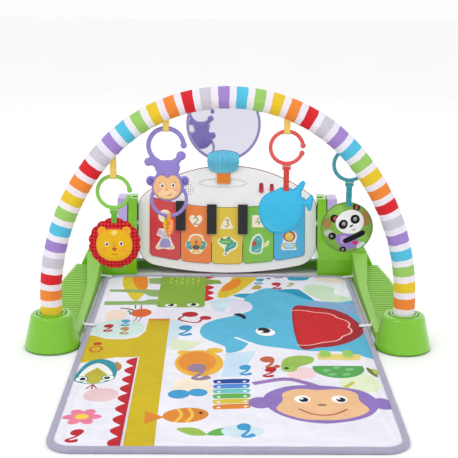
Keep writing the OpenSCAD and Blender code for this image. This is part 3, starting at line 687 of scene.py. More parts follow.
    # Giraffe
    p.ink("cdb41a", [(-144, 79), (-105, 79), (-104, -139), (-102, -462), (-144, -462), (-147, -110),
        (-184, -112), (-213, -122), (-235, -134), (-252, -130), (-252, 0), (-236, -3), (-211, -22),
        (-179, -26), (-156, -14), (-145, 15)])
    p.ink("d98028", [(-144, 85), (-105, 85), (-105, 74), (-144, 74)])
    p.ink("c9512a", ellipse(-223, -72, 13, 17, 0, 6))
    p.ink("cdb41a", ellipse(-223, -72, 9, 13, 0, 6))
    p.ink("c43a22", ellipse(-223, -46, 8, 7))
    scallops(p, "be1f2c", -149, -112, -457, 9, -18)
    # Round-faced bird
    p.ink("b98740", spline([(-183, -132), (-174, -144), (-172, -162), (-179, -173), (-186, -153)]))
    p.ink("2f93a2", spline([(-209, -119), (-187, -134), (-178, -171), (-181, -207), (-202, -226),
        (-227, -225), (-244, -204), (-237, -157), (-227, -130)]))
    p.ink("f1f1ee", spline([(-211, -138), (-192, -160), (-183, -198), (-202, -223), (-225, -222),
        (-237, -200), (-228, -157)]))
    p.ink("bdb33c", [(-211, -156), (-192, -187), (-201, -221), (-210, -227), (-221, -221),
        (-228, -187)])
    for x, y, look, glint, rise in ((-231, -206, 2, -2, 2), (-189, -201, -2, -2, 3)):
        p.ink("3b8d78", ellipse(x, y, 11, 12))
        p.ink("ffffff", ellipse(x, y, 9, 10))
        p.ink("15191c", ellipse(x + look, y, 5, 6))
        p.ink("ffffff", ellipse(x + glint, y + rise, 1, 1))
    for knee, foot in ((-215, -219), (-210, -210), (-206, -201)):
        p.ink("a83336", stroke([(-210, -229), (knee, -239), (foot, -249)], 2.5))
    # Cub
    p.ink("e7b93f", ellipse(-22, -78, 14, 13))
    p.ink("e7b93f", ellipse(-74, -91, 11, 11))
    p.ink("e9b23c", ellipse(-47, -137, 40, 60))
    p.ink("e58f31", ellipse(-50, -132, 31, 48))
    note(p, "9b7f98", -50, -159, 1.5, 8)
    # Xylophone
    for i, c in enumerate(("20449a", "4a86cf", "6cc3c2", "5fae4f", "d8c33a", "e2832d")):
        y = -213 - i * 20
        bar = [(-22, y - 9), (-18, y + 4), (30, y + 9), (33, y - 3), (28, y - 8), (-16, y - 12)]
        p.ink(c, spline(bar))
        for x in (-14, 26):
            p.ink("e9f1f6", ellipse(x, y - 4 + x * 0.1, 3, 3, 0, 10))
    p.ink("3d9ccf", ellipse(-75, -268, 17, 17), ellipse(-46, -262, 15, 15))
    p.ink("e8c6cb", ellipse(-193, -272, 27, 27))
    # Tortoise
    p.ink("e4cf7a", [(150, -89), (223, -95), (219, -121), (150, -119)])
    p.ink("9bcb66", spline([(155, -78), (165, -75), (173, -85), (171, -107), (156, -107)]))
    p.ink("9bcb66", spline([(194, -80), (204, -75), (210, -85), (207, -111), (193, -110)]))
    p.ink("eacf63", stroke([(148, -103), (166, -108), (185, -101), (203, -110), (221, -105)], 3))
    p.ink("97bb52", spline([(141, -107), (116, -100), (94, -116), (87, -148), (89, -173), (105, -175),
        (116, -153), (139, -132)]))
    p.ink("9bc25a", ellipse(99, -163, 13, 14))
    p.ink("15191c", ellipse(95, -160, 4, 5))
    p.ink("55a455", arc_points(179, -158, 42, 15, -195, 1.0))
    for a in (0.5, 1.7, 2.9, 4.1, 5.3):
        p.ink("7cc07b", ellipse(179 + 20 * math.cos(a), -170 + 16 * math.sin(a), 8, 6, 40, 8))
    # Purple monkey
    p.ink("9a76b6", stroke([(39, -223), (89, -206), (121, -221), (146, -244)], 13))
    p.ink("8f74bd", spline([(60, -262), (95, -235), (150, -232), (205, -252), (226, -300), (200, -352),
        (140, -374), (84, -352), (54, -305)]))
    p.ink("8f74bd", ellipse(48, -300, 18, 22), ellipse(232, -300, 16, 22))
    p.ink("eebf90", spline([(140, -250), (172, -246), (196, -262), (198, -292), (208, -326),
        (176, -356), (140, -362), (104, -356), (72, -326), (82, -292), (84, -262), (108, -246)]))
    for x in (112, 168):
        p.ink("ffffff", ellipse(x, -286, 12, 14))
        p.ink("181b1e", ellipse(x + 2, -288, 7, 9))
        p.ink("ffffff", ellipse(x - 1, -284, 3, 3, 0, 8))
    p.ink("b9605c", stroke([(104, -322), (122, -340), (140, -345), (158, -340), (176, -322)], 4))
    p.ink("a0724e", ellipse(140, -308, 7, 4))
    # Leaves and a stalk at the right, and parts of other pictures at the far edge
    p.ink("6f7d33", spline([(225, -153), (238, -170), (238, -194), (227, -177)]))
    p.ink("b9c765", spline([(235, -157), (245, -166), (241, -182), (234, -173)]))
    p.ink("c3c24a", stroke([(178, -241), (189, -229), (197, -216)], 7))
    p.ink("5f4a9a", spline([(94, 379), (116, 379), (117, 356), (105, 342), (94, 356)]))
    p.ink("d9a3c8", ellipse(104, 347, 6, 7))
    p.ink("3d3f9f", ellipse(85, 340, 5, 5))
    p.ink("2fa0bf", spline([(124, 379), (178, 379), (171, 352), (160, 330), (130, 328), (124, 347)]))
    p.ink("b7a15c", spline([(48, 268), (58, 295), (69, 284), (64, 268)]))
    # Nearest part: fish, flower, leaves and notes
    p.ink("d9862f", ellipse(-62, -345, 34, 26, 12))
    p.ink("d9862f", [(-92, -352), (-122, -330), (-120, -376)])
    p.ink("f2c14d", stroke([(-74, -322), (-68, -345), (-76, -368)], 5))
    p.ink("f2c14d", stroke([(-58, -321), (-52, -345), (-60, -369)], 5))
    p.ink("15191c", ellipse(-40, -338, 3, 4, 0, 10))
    for i in range(6):
        p.ink("e77f9b", placed(ellipse(17, 0, 12, 9), -212, -352, 1, 60 * i))
    p.ink("f4d04c", ellipse(-212, -352, 10, 10))
    for colour, turn in (("5fae4f", 25), ("97bb52", 150)):
        p.ink(colour, placed(spline([(0, 0), (20, 12), (48, 4), (26, -12)]), -30, -412, 1, turn))
    p.ink("cfe3ee", ellipse(20, -400, 30, 22))
    note(p, "3a98cc", 22, -385, 1.0, 10)
    note(p, "b9202f", -212, -405, 0.9, -12)
    return p


def make_mat():
    """Printed padding with closed sides and back, and the binding round it."""
    points, faces, colours = mat_print().cut(8.0)
    verts = [(x * MM, y * MM, mat_height(x, y) * MM) for x, y in points]
    mat = mesh_piece("mat_top", verts, faces, [PRINT], colours)
    bm = bmesh.new()
    bm.from_mesh(mat.data)
    bmesh.ops.recalc_face_normals(bm, faces=bm.faces)
    if bm.faces[0].normal.z < 0:
        bmesh.ops.reverse_faces(bm, faces=bm.faces)
    edge = [e for e in bm.edges if e.is_boundary]
    skirt = bmesh.ops.extrude_edge_only(bm, edges=edge)["geom"]
    for v in skirt:
        if isinstance(v, bmesh.types.BMVert):
            v.co.z = 0.0006
    lower = [e for e in bm.edges if e.is_boundary]
    layer = bm.loops.layers.float_color["print"]
    backing = bmesh.ops.holes_fill(bm, edges=lower, sides=0)["faces"]
    for face in backing:
        for loop in face.loops:
            loop[layer] = srgb("c9cadb")
        face.smooth = False
    bm.to_mesh(mat.data)
    bm.free()
    finish_piece(mat, "base", ["mat"])

    path = [(x * MM, y * MM, 0) for x, y in even(mat_border(BINDING), 8.0)]
    turns = [math.sin(i * 0.9) + 0.5 * math.sin(i * 0.37 + 1) for i in range(len(path))]

    def section(i):
        swell = 1 + 0.03 * turns[i]
        low = 0.0045 * swell
        return [(u, v + low + 0.0002) for u, v in oval_section(BINDING * MM, low, 14, 0.75)]

    binding = sweep("mat_binding", path, (0, 0, 1), section, BINDING_CLOTH, closed=True)
    finish_piece(binding, "base")


def make_tabs():
    """Cloth tabs that tie the mat to the arms."""
    low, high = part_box("mat_loops")
    edge = MAT_X * MM
    half = 0.006
    for i, y in enumerate((low.y, high.y)):
        for side in (-1, 1):
            yc = y + half if i == 0 else y - half
            reach = high.x + 0.001
            places = ((edge - 0.016, 0.0091), (edge - 0.004, 0.0102), (reach - 0.003, 0.0108),
                      (reach, 0.0125), (reach - 0.0002, 0.018))
            line = [Vector((side * x, yc, z)) for x, z in places]
            quarters = (0, 0.25, 0.5, 0.75)
            path = [a.lerp(b, t) for a, b in zip(line, line[1:]) for t in quarters] + line[-1:]
            moulding(f"mat_tab_{'left' if side < 0 else 'right'}_{i}", path, (0, 1, 0),
                                 (0.0007, half, 12, 0.35), TAB, "base")
    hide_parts("mat_loops")


make_mat()
make_tabs()


# ---------- Striped sleeve of the arch ----------

STRIPES = ("e6c42f", "f08838", "d8262f", "cbc8d4", "a184cb", "55bfe0", "9acb68")
PALE = srgb("efebf4")
SLEEVE_R = 0.0183
LEG_TOP = 0.085
CROWN_R = 0.275
SLEEVE_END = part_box("arch_sleeve")[0].z
CROWN_Z = ARCH_TOP - 0.0186 - CROWN_R
RISE = CROWN_Z - LEG_TOP
SIDE_R = (LEG_X ** 2 + RISE ** 2 - CROWN_R ** 2) / (2 * (LEG_X - CROWN_R))
SIDE_A = math.atan2(RISE, SIDE_R - LEG_X)
LEG_L = LEG_TOP - SLEEVE_END
SIDE_L = SIDE_R * SIDE_A
CROWN_L = CROWN_R * (math.pi - 2 * SIDE_A)
ARCH_L = 2 * LEG_L + 2 * SIDE_L + CROWN_L


def arch_point(s):
    """Point on the arch's centreline and the outward direction, s from the left end."""
    if s > ARCH_L / 2:
        p, out = arch_point(ARCH_L - s)
        return Vector((-p.x, p.y, p.z)), Vector((-out.x, 0, out.z))
    if s < LEG_L:
        return Vector((-LEG_X, ARCH_Y, SLEEVE_END + s)), Vector((-1, 0, 0))
    if s < LEG_L + SIDE_L:
        a = (s - LEG_L) / SIDE_R
        r, centre = SIDE_R, Vector((SIDE_R - LEG_X, ARCH_Y, LEG_TOP))
    else:
        a = SIDE_A + (s - LEG_L - SIDE_L) / CROWN_R
        r, centre = CROWN_R, Vector((0, ARCH_Y, CROWN_Z))
    out = Vector((-math.cos(a), 0, math.sin(a)))
    return centre + out * r, out


def make_sleeve():
    """Padded sleeve of coloured stripes with a narrow pale gap between each two."""
    first, last, half = 0.015, ARCH_L - 0.031, 0.0089
    gaps, around = 36, 36
    pitch = (last - first) / gaps
    rings, kinds = [0.0], []
    for i in range(gaps + 1):
        middle_s = first + pitch * i
        edges = (max(middle_s - half, 0.0004), middle_s + half)
        if rings[-1] < edges[0] - 0.001:
            gap = rings[-1]
            for k in range(1, 5):
                rings.append(gap + (edges[0] - gap) * k / 4)
                kinds.append((i, True))
        for k in range(1, 7):
            rings.append(edges[0] + (edges[1] - edges[0]) * k / 6)
            kinds.append((i, False))
    gap = rings[-1]
    for k in range(1, 5):
        rings.append(gap + (ARCH_L - gap) * k / 4)
        kinds.append((gaps, True))
    verts, faces, colours = [], [], []
    y_axis = Vector((0, 1, 0))
    for j, s in enumerate(rings):
        for k in range(around):
            a = TAU * k / around
            inner = max(-math.cos(a), 0)
            drift = 0.0011 * noise.noise(Vector((math.cos(a) * 1.6, math.sin(a) * 1.6, s * 60)))
            p, out = arch_point(min(max(s + (drift if 0 < j < len(rings) - 1 else 0), 0), ARCH_L))
            folds = noise.noise(Vector((s * 230, math.cos(a) * 1.3, math.sin(a) * 1.3)))
            broad = noise.noise(Vector((s * 45, math.cos(a) * 0.8 + 4, math.sin(a) * 0.8)))
            seam = 0.0008 * math.exp(-((a - math.pi * 1.12) / 0.09) ** 2)
            r = SLEEVE_R + (0.00022 + 0.00075 * inner) * folds + 0.0005 * broad - seam
            verts.append(tuple(p + out * (r * math.cos(a)) + y_axis * (r * math.sin(a))))
    for j, (band, pale) in enumerate(kinds):
        colour = srgb(STRIPES[band % 7])
        if pale:
            colour = tuple(0.93 * c + 0.07 * d for c, d in zip(PALE, colour))
        for k in range(around):
            a, b = j * around + k, j * around + (k + 1) % around
            faces.append((a, b, b + around, a + around))
            colours.append(colour)
    for j, order in ((0, range(around)), (len(rings) - 1, range(around - 1, -1, -1))):
        faces.append([j * around + k for k in order])
        colours.append(PALE)
    sleeve = mesh_piece("striped_sleeve", verts, faces, PRINT, colours)
    face_outwards(sleeve)
    sub = sleeve.modifiers.new("smooth", "SUBSURF")
    sub.levels = sub.render_levels = 1
    finish_piece(sleeve, "arch", ["arch_sleeve"])


make_sleeve()


# ---------- Ribbons and straps ----------

def bent_path(x, y, z, r, up_front, up_back, n=12):
    """Path in the YZ plane: down to a half turn of radius r under [y, z], and up again."""
    points = [(x, y - r, z + up_front * k / 6) for k in range(6, 0, -1)]
    for k in range(n + 1):
        a = math.pi * k / n
        points.append((x, y - r * math.cos(a), z - math.copysign(r, up_front) * math.sin(a)))
    return points + [(x, y + r, z + up_back * k / 6) for k in range(1, 7)]


def make_strip(name, path, width, thick, material):
    """Woven tape along a path in the YZ plane, with a slightly uneven edge."""
    def section(i):
        return oval_section(thick / 2, width / 2 * (1 - 0.03 * (i % 3)), 12, 0.35)
    return sweep(name, path, (1, 0, 0), section, material)


def ring_pivot(ring):
    """Centre of the rod at the top of a snap ring."""
    low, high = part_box(ring)
    return high.z - 0.0032, (low.y + high.y) / 2


RIBBON_X = {"lion": -0.191, "monkey": -0.103, "elephant": 0.096, "panda": 0.204}
RIBBON_W = 0.0104
PANDA_RIBBON_TOP = 0.355


def make_ribbons():
    """Yellow loops that carry the snap rings under the arch."""
    for toy, x in RIBBON_X.items():
        if toy == "monkey":
            z, y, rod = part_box("monkey")[1].z - 0.0039, ARCH_Y, 0.0039
        else:
            z, y = ring_pivot(toy + "_ring")
            rod = 0.0032
        top = CROWN_Z + math.sqrt((CROWN_R - SLEEVE_R) ** 2 - x ** 2) + 0.003 - z
        if toy == "panda":
            top = PANDA_RIBBON_TOP - z
        path = bent_path(x, y, z, rod + 0.0014, top, top)
        ribbon = make_strip("ribbon_" + toy, path, RIBBON_W, 0.001, RIBBON)
        if toy == "panda":
            hem_z = PANDA_RIBBON_TOP + 0.0005
            hem = [(x, y - 0.0125 + 0.0018 * k, hem_z + 0.0012 * math.sin(k * 0.35)) for k in range(11)]
            patch = make_strip("ribbon_panda_hem", hem, RIBBON_W, 0.001, RIBBON)
            finish_piece(patch, "arch")
        finish_piece(ribbon, "arch")
    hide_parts("toy_ribbons")


make_ribbons()


# ---------- Stuffed toys ----------

def border_distance(points, outline):
    """Distance of each point to a closed outline."""
    p = np.array(points)
    a = np.array(outline)
    b = np.roll(a, -1, axis=0)
    best = np.full(len(p), 1e9)
    for q, r in zip(a, b):
        d = r - q
        t = np.clip(((p - q) @ d) / max(d @ d, 1e-9), 0, 1)
        best = np.minimum(best, np.hypot(*(p - q - t[:, None] * d).T))
    return best


def pillow(name, layers, back_colour, place, thick, soft, material, spacing, depth=None):
    """Printed pillow facing -Y whose outline is the border of layers, in millimetres."""
    points, triangles, colours = layers.cut(spacing)
    gaps = border_distance(points, layers.border)
    verts, back_index = [], []
    fronts, backs = [], []
    for (u, v), gap in zip(points, gaps):
        swell = thick / 2 * (1 - math.exp(-gap / soft)) if gap > 0.01 else 0.0
        if depth and gap > 0.01:
            fronts.append(depth(u, v, -1, swell))
            backs.append(depth(u, v, 1, swell))
        else:
            fronts.append(swell)
            backs.append(swell)
    for (u, v), d in zip(points, fronts):
        verts.append((place[0] + u * MM, place[1] - d * MM, place[2] + v * MM))
    for i, ((u, v), d, gap) in enumerate(zip(points, backs, gaps)):
        if gap > 0.01:
            back_index.append(len(verts))
            verts.append((place[0] + u * MM, place[1] + d * MM, place[2] + v * MM))
        else:
            back_index.append(i)
    faces = list(triangles) + [[back_index[i] for i in reversed(t)] for t in triangles]
    tones = list(colours) + [srgb(back_colour)] * len(triangles)
    piece = mesh_piece(name, verts, faces, material, tones)
    face_outwards(piece)
    return piece


def frozen(piece):
    """The piece's mesh with its modifiers applied."""
    graph = bpy.context.evaluated_depsgraph_get()
    mesh = bpy.data.meshes.new_from_object(piece.evaluated_get(graph))
    piece.modifiers.clear()
    old = piece.data
    piece.data = mesh
    bpy.data.meshes.remove(old)
    return mesh


def stuffing(outline, thick):
    """Depth of a cushion over the outline, from a cloth simulation with air pressure."""
    flat = Print(outline, "ffffff")
    form = pillow("blank", flat, "ffffff", (0, 0, 0), thick * 0.55, 5, TAB, 4.0)
    remesh = form.modifiers.new("voxels", "REMESH")
    remesh.mode = "VOXEL"
    remesh.voxel_size = 0.0024
    frozen(form)
    start = [v.co.copy() for v in form.data.vertices]
    cloth = form.modifiers.new("cloth", "CLOTH")
    cloth.settings.quality = 5
    cloth.settings.use_pressure = True
    cloth.settings.uniform_pressure_force = 4
    cloth.settings.effector_weights.gravity = 0
    cloth.collision_settings.use_collision = False
    cloth.point_cache.frame_start = 1
    cloth.point_cache.frame_end = 20
    for frame_number in range(1, 21):
        bpy.context.scene.frame_set(frame_number)
    frozen(form)
    bpy.context.scene.frame_set(1)
    cap = thick * MM * 0.5  # how far a point may move
    for v, home in zip(form.data.vertices, start):
        move = v.co - home
        if move.length > cap:
            v.co = home + move * (cap / move.length)
    points = [v.co for v in form.data.vertices]
    tree = BVHTree.FromPolygons(points, [tuple(f.vertices) for f in form.data.polygons])
    bpy.data.objects.remove(form)

    def depth(u, v, side, fallback):
        hit = tree.ray_cast(Vector((u * MM, side * 0.1, v * MM)), Vector((0, -side, 0)))[0]
        found = abs(hit.y) / MM if hit else 0.0
        return min(max(found, fallback * 0.8), thick * 0.62)
    return depth


def piping(toy, outline, place, radius, material):
    """Cord sewn into a toy's edge."""
    path = [(place[0] + u * MM, place[1], place[2] + v * MM) for u, v in outline]
    size = (radius, radius, 8)
    moulding(toy + "_piping", path, (0, 1, 0), size, material, toy + "_toy", True)


def eye(p, x, y, size):
    p.ink("ffffff", ellipse(x, y, size, size * 1.1))
    p.ink("16181b", ellipse(x, y, size * 0.72, size * 0.82))
    p.ink("ffffff", ellipse(x - size * 0.25, y + size * 0.3, size * 0.25, size * 0.25, 0, 10))


def stuff_toy(name, p, back, place, thick, blown, soft, material):
    """Inflated pillow NAME_pad that takes the place of the toy's CAD solid."""
    toy = pillow(name + "_pad", p, back, place, thick, soft, material, 2.4, stuffing(p.border, blown))
    finish_piece(toy, name + "_toy", [name])


def make_strap(toy, material, low_z):
    """Ribbed strap over the bar of a toy's ring."""
    low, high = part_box(toy + "_ring")
    z, y = low.z + 0.0017, (low.y + high.y) / 2
    drop = low_z - z
    width = 0.0092
    x = RIBBON_X[toy]
    strap = make_strip(toy + "_strap", bent_path(x, y, z, 0.0034, drop, drop), width, 0.001, material)
    finish_piece(strap, toy + "_toy")
    for k in range(1, 5):
        rib_z = z + drop * k / 5.2
        for side in (-1, 1):
            path = [(x + width * (i / 4 - 0.5), y + side * 0.0041, rib_z) for i in range(5)]
            moulding(f"{toy}_strap_rib_{k}_{'front' if side < 0 else 'back'}", path, (0, 0, 1),
                     (0.0006, 0.0009, 8), material, toy + "_toy")


def box_outline(x, y, half_x, half_y):
    """Rectangle round a centre, from its half sizes."""
    signs = ((-1, -1), (1, -1), (1, 1), (-1, 1))
    return [(x + half_x * a, y + half_y * b) for a, b in signs]


def make_lion():
    place = (RIBBON_X["lion"], ARCH_Y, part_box("lion")[0].z + 0.0435)
    outline = []
    for i in range(140):
        a = TAU * i / 140
        r = 40.2 + 3.2 * abs(math.sin(8 * a)) ** 0.7
        outline.append((r * math.cos(a), r * math.sin(a)))
    p = Print(outline, "e0353a")
    check, band, reach = 6.2, 1.5, 46
    for k in range(-7, 8):
        p.ink("cb1f2a", box_outline(k * check, 0, band, reach), box_outline(0, k * check, reach, band))
    for i in range(-7, 8):
        for k in range(-7, 8):
            if i * i + k * k < 52:
                p.ink("93101b", box_outline(i * check, k * check, band, band))
    for side in (-1, 1):
        p.ink("e6b322", ellipse(side * 20, 22, 7.5, 8))
        p.ink("ee9b2e", ellipse(side * 20, 22.5, 4, 4.5))
    p.ink("ee9a3a", spline([(0, 26.5), (18, 23.5), (28, 12), (30.5, -4), (25, -19), (13, -27.5),
        (0, -29.5), (-13, -27.5), (-25, -19), (-30.5, -4), (-28, 12), (-18, 23.5)]))
    p.ink("e7b41f", spline([(0, 25), (17, 22), (26.5, 11), (29, -4), (24, -18), (12, -26), (0, -28),
        (-12, -26), (-24, -18), (-29, -4), (-26.5, 11), (-17, 22)]))
    p.ink("f6d676", spline([(-5, 21), (0, 15), (6, 21), (0, 24)]))
    p.ink("d9992a", stroke([(-3, -2), (0, -8), (3, -2)], 1.4), stroke([(0, -6), (0, 6)], 4, 4, 0.4))
    eye(p, -12.5, 0.5, 3.4)
    eye(p, 11.5, 1.5, 3.4)
    p.ink("c4512c", spline([(-4.2, -7), (0, -6), (4.2, -7), (1, -11.5), (-1, -11.5)]))
    p.ink("9c4427", stroke([(-5, -16), (-2, -18), (0, -16.5), (2, -18), (5, -16)], 1))
    for side in (-1, 1):
        p.ink("ec9f32", ellipse(side * 17, -9, 4, 3))
    stuff_toy("lion", p, "cf2028", place, 14, 13, 6.5, PRINT)
    piping("lion", outline[::2], place, 0.0010, LION_EDGE)
    make_strap("lion", RING_GREEN_WEB, place[2] + 0.036)


def make_panda():
    low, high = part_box("panda")
    place = ((low.x + high.x) / 2, (low.y + high.y) / 2, low.z + 0.0445)
    outline = ellipse(0, 0, 43.5, 43.5, 0, 90)
    p = Print(outline, "7fae4a")
    p.ink("a4834e", ellipse(30, 17, 9, 13, 20), ellipse(-34, 8, 8, 9))
    p.ink("8fbf5a", ellipse(-20, 30, 14, 9, 30), ellipse(24, -22, 14, 16, 10))
    p.ink("b9c7b4", ellipse(-31, -9, 8, 6))
    p.ink("1b1c20", ellipse(-22, 17, 7, 7), ellipse(15, 36, 6.5, 6.5))
    p.ink("b0584a", ellipse(-21, 17, 3.5, 4), ellipse(15, 35.5, 3.2, 3.6))
    p.ink("9a7cc4", spline([(-20, -14), (-2, -8), (12, -12), (20, -24), (12, -36), (-4, -36),
        (-14, -28)]))
    p.ink("b79ad8", ellipse(-4, -20, 8, 8))
    p.ink("dfe2e6", ellipse(25, -31, 8, 6, 35))
    p.ink("f0f0f1", spline([(-19, 15), (-8, 28), (10, 32), (24, 24), (28, 10), (22, -3), (8, -9),
        (-8, -7), (-18, 2)]))
    p.ink("17181c", ellipse(-7, 7, 7.5, 8.5, -30), ellipse(13, 16, 8, 8, 20))
    eye(p, -6, 8, 2.7)
    eye(p, 13, 16.5, 2.7)
    p.ink("17181c", spline([(3, 3), (7, 6), (10, 7), (8, 3)]), stroke([(8, -1), (12, -3),
        (13, 1)], 0.9))
    p.ink("17181c", stroke([(26, -8), (14, -14), (-2, -22)], 9.5), ellipse(-25, -14, 6.5, 6.5))
    p.ink("17181c", ellipse(26, -8, 4.75, 4.75), ellipse(-2, -22, 4.75, 4.75), ellipse(-6, -38, 6, 5.5))
    p.ink("8f9095", ellipse(-6, -38, 2.5, 2.5, 0, 10), ellipse(-26, -14, 2.5, 2.5, 0, 10))
    p.ink("d0305a", ellipse(14, -25, 4.5, 3.5))
    stuff_toy("panda", p, "8cc45a", place, 13, 12.5, 6, PRINT)
    piping("panda", outline, place, 0.0011, PANDA_EDGE)
    make_strap("panda", RING_TEAL_WEB, place[2] + 0.038)


def make_elephant():
    low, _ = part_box("elephant")
    place = (low.x + 0.039, ARCH_Y, low.z + 0.039)
    outline = spline([(-37, 4), (-33, 20), (-24, 30), (-10, 36), (0, 41), (12, 41), (20, 38), (27, 44),
        (34, 52), (39, 50), (37, 42), (33, 33), (35, 22), (41, 20), (46, 24), (50, 29), (53, 24),
        (52, 14), (50, 4), (46, 3), (43, 9), (37, 10), (35, -4), (29, -20), (18, -32), (4, -37),
        (-12, -36), (-26, -27), (-34, -14)], 6)
    p = Print(outline, "3dbbe6")
    p.ink("6fd0ee", stroke([(-28, -18), (-14, -30), (4, -32)], 1.4))
    stuff_toy("elephant", p, "35b4df", place, 13, 12.5, 5, ELEPHANT_SKIN)
    piping("elephant", outline[::2], place, 0.0008, ELEPHANT_EDGE)
    make_strap("elephant", RING_RED_WEB, place[2] + 0.036)


make_lion()
make_panda()
make_elephant()


# ---------- Monkey ----------

def ball(bm, place, radii):
    matrix = Matrix.Translation(place) @ Matrix.Diagonal((*radii, 1))
    bmesh.ops.create_uvsphere(bm, u_segments=24, v_segments=16, radius=1, matrix=matrix)


def rod(bm, path, radius, closed=False):
    piece = sweep("rod", path, (0, 1, 0), lambda i: oval_section(radius, radius, 12), TAB, closed)
    bm.from_mesh(piece.data)
    bpy.data.objects.remove(piece)


def make_monkey():
    ring_r, tip_angles = 29, (2, 328)
    ring = Vector((RIBBON_X["monkey"], ARCH_Y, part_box("monkey")[1].z - 0.0329))

    def at(x, z, y=0.0):
        return (ring.x + x * MM, ring.y + y * MM, ring.z + z * MM)

    bm = bmesh.new()
    rod(bm, [at(*p) for p in arc_points(0, 0, ring_r, *tip_angles, 1, 60)], 0.0041)
    for a in tip_angles:
        ball(bm, at(*arc_points(0, 0, ring_r, a, a)[0]), (0.0056, 0.005, 0.0056))
    ball(bm, at(24.6, -16.5), (0.0082, 0.0056, 0.0078))
    ball(bm, at(-29.5, -27), (0.0072, 0.0052, 0.0072))
    rod(bm, [at(-27, -26), at(-20, -30), at(-10, -36)], 0.0046)
    rod(bm, [at(24, -17), at(18, -26), at(8, -34)], 0.0052)
    ball(bm, at(2, -37), (0.0215, 0.0062, 0.0135))
    ball(bm, at(2, -46), (0.019, 0.0068, 0.011))
    ball(bm, at(2, -67), (0.0268, 0.009, 0.0268))
    for side in (-1, 1):
        ball(bm, at(2 + side * 28, -59), (0.0082, 0.0036, 0.009))
    loop = [at(4 + 29 * math.cos(TAU * i / 64), -90 + 29 * math.sin(TAU * i / 64), 1) for i in range(64)]
    rod(bm, loop, 0.0031, True)
    mesh = bpy.data.meshes.new("monkey_shell")
    bm.to_mesh(mesh)
    bm.free()
    shell = bpy.data.objects.new("monkey_shell", mesh)
    bpy.context.scene.collection.objects.link(shell)
    remesh = shell.modifiers.new("voxels", "REMESH")
    remesh.mode = "VOXEL"
    remesh.voxel_size = 0.0011
    remesh.use_smooth_shade = True
    smooth = shell.modifiers.new("smooth", "SMOOTH")
    smooth.factor = 0.6
    smooth.iterations = 5
    frozen(shell)
    shell.data.materials.clear()
    shell.data.materials.append(PURPLE)
    shell.data.polygons.foreach_set("use_smooth", [True] * len(shell.data.polygons))
    finish_piece(shell, "monkey_toy", ["monkey"])

    outline = spline([(0, 15), (9, 19.5), (18, 14), (22.5, 2), (20, -12), (10, -20.5), (-1, -22),
        (-12, -20), (-21, -11), (-23, 2), (-18, 14), (-9, 19.5)], 6)
    p = Print(outline, "eab57c")
    p.ink("f2c894", spline([(-14, -8), (0, -3), (14, -8), (12, -17), (0, -20), (-12, -17)]))
    p.ink("eaa188", ellipse(-15, -6, 4, 3), ellipse(15, -5, 4, 3))
    eye(p, -8.5, 2, 3.2)
    eye(p, 9.5, 3.2, 3.2)
    for x, y in ((-12, 5.5), (13, 6.5)):
        p.ink("16181b", stroke([(x - 1.6, y + 1), (x + 1.5, y + 1.6)], 0.8))
    p.ink("c98a58", ellipse(-1, -5, 2.6, 1.5))
    p.ink("6e2f22", stroke([(0, -14.5), (4, -14), (6.5, -10.5)], 1.1))
    face = pillow("monkey_face_plate", p, "e2a96f", at(2, -67, -8.0), 5.0, 3.5, STICKER, 2.4)
    finish_piece(face, "monkey_toy", ["monkey_face"])
    for side in (-1, 1):
        dish = Print(ellipse(0, 0, 4.6, 5.2), "5f4fa8")
        dish.ink("6d5cb4", ellipse(side * 0.6, 0.4, 3.0, 3.6))
        inner = pillow("monkey_ear_" + ("left" if side < 0 else "right"), dish, "5f4fa8",
                       at(2 + side * 28.6, -59, -3.2), 1.6, 1.5, STICKER, 2.0)
        finish_piece(inner, "monkey_toy")

    band = at(4, -119, 1)
    loop = make_strip("charm_loop", bent_path(*band, 0.0044, -0.009, -0.009), 0.006, 0.001, CHARM_CORD)
    finish_piece(loop, "charms", ["monkey_charms"])
    leaf = spline([(0, 3), (5, -4), (6.5, -13), (4.5, -23), (0, -31), (-4.5, -23), (-6.5, -13), (-5, -4)])
    leaves = ((-5.2, 4.6, 8, "ecd23c", "cfa52a"), (4.4, -4.0, -10, "f07a3c", "fbd08c"))
    for k, (x, y, turn, tone, rib) in enumerate(leaves):
        q = Print(placed(leaf, 0, 0, 1, turn), tone)
        q.ink(rib, placed(stroke([(0, 0), (0.6, -14), (0, -28)], 1.6, 4, 0.4), 0, 0, 1, turn))
        for t in (-8, -14, -20):
            for s in (-1, 1):
                q.ink(rib, placed(stroke([(0, t), (s * 4.2, t - 3.6)], 0.8), 0, 0, 1, turn))
        place = (band[0] + x * MM, band[1] + y * MM, band[2] - 0.0065)
        charm = pillow(f"charm_leaf_{k}", q, tone, place, 2.6, 2.0, PRINT, 2.0)
        finish_piece(charm, "charms")


make_monkey()


# ---------- Piano: bead, key pictures and mirror pocket ----------

FACE = Vector((0, 0.3925, 0.006))
FACE_RIGHT = Vector((1, 0, 0))
FACE_IN = Vector((0, math.cos(LEAN), -math.sin(LEAN)))
FACE_UP = Vector((0, math.sin(LEAN), math.cos(LEAN)))


def on_face(x, w, v):
    """Point of the piano's leaning face in millimetres: across, inwards and upwards."""
    return FACE + (FACE_RIGHT * x + FACE_IN * w + FACE_UP * v) * MM


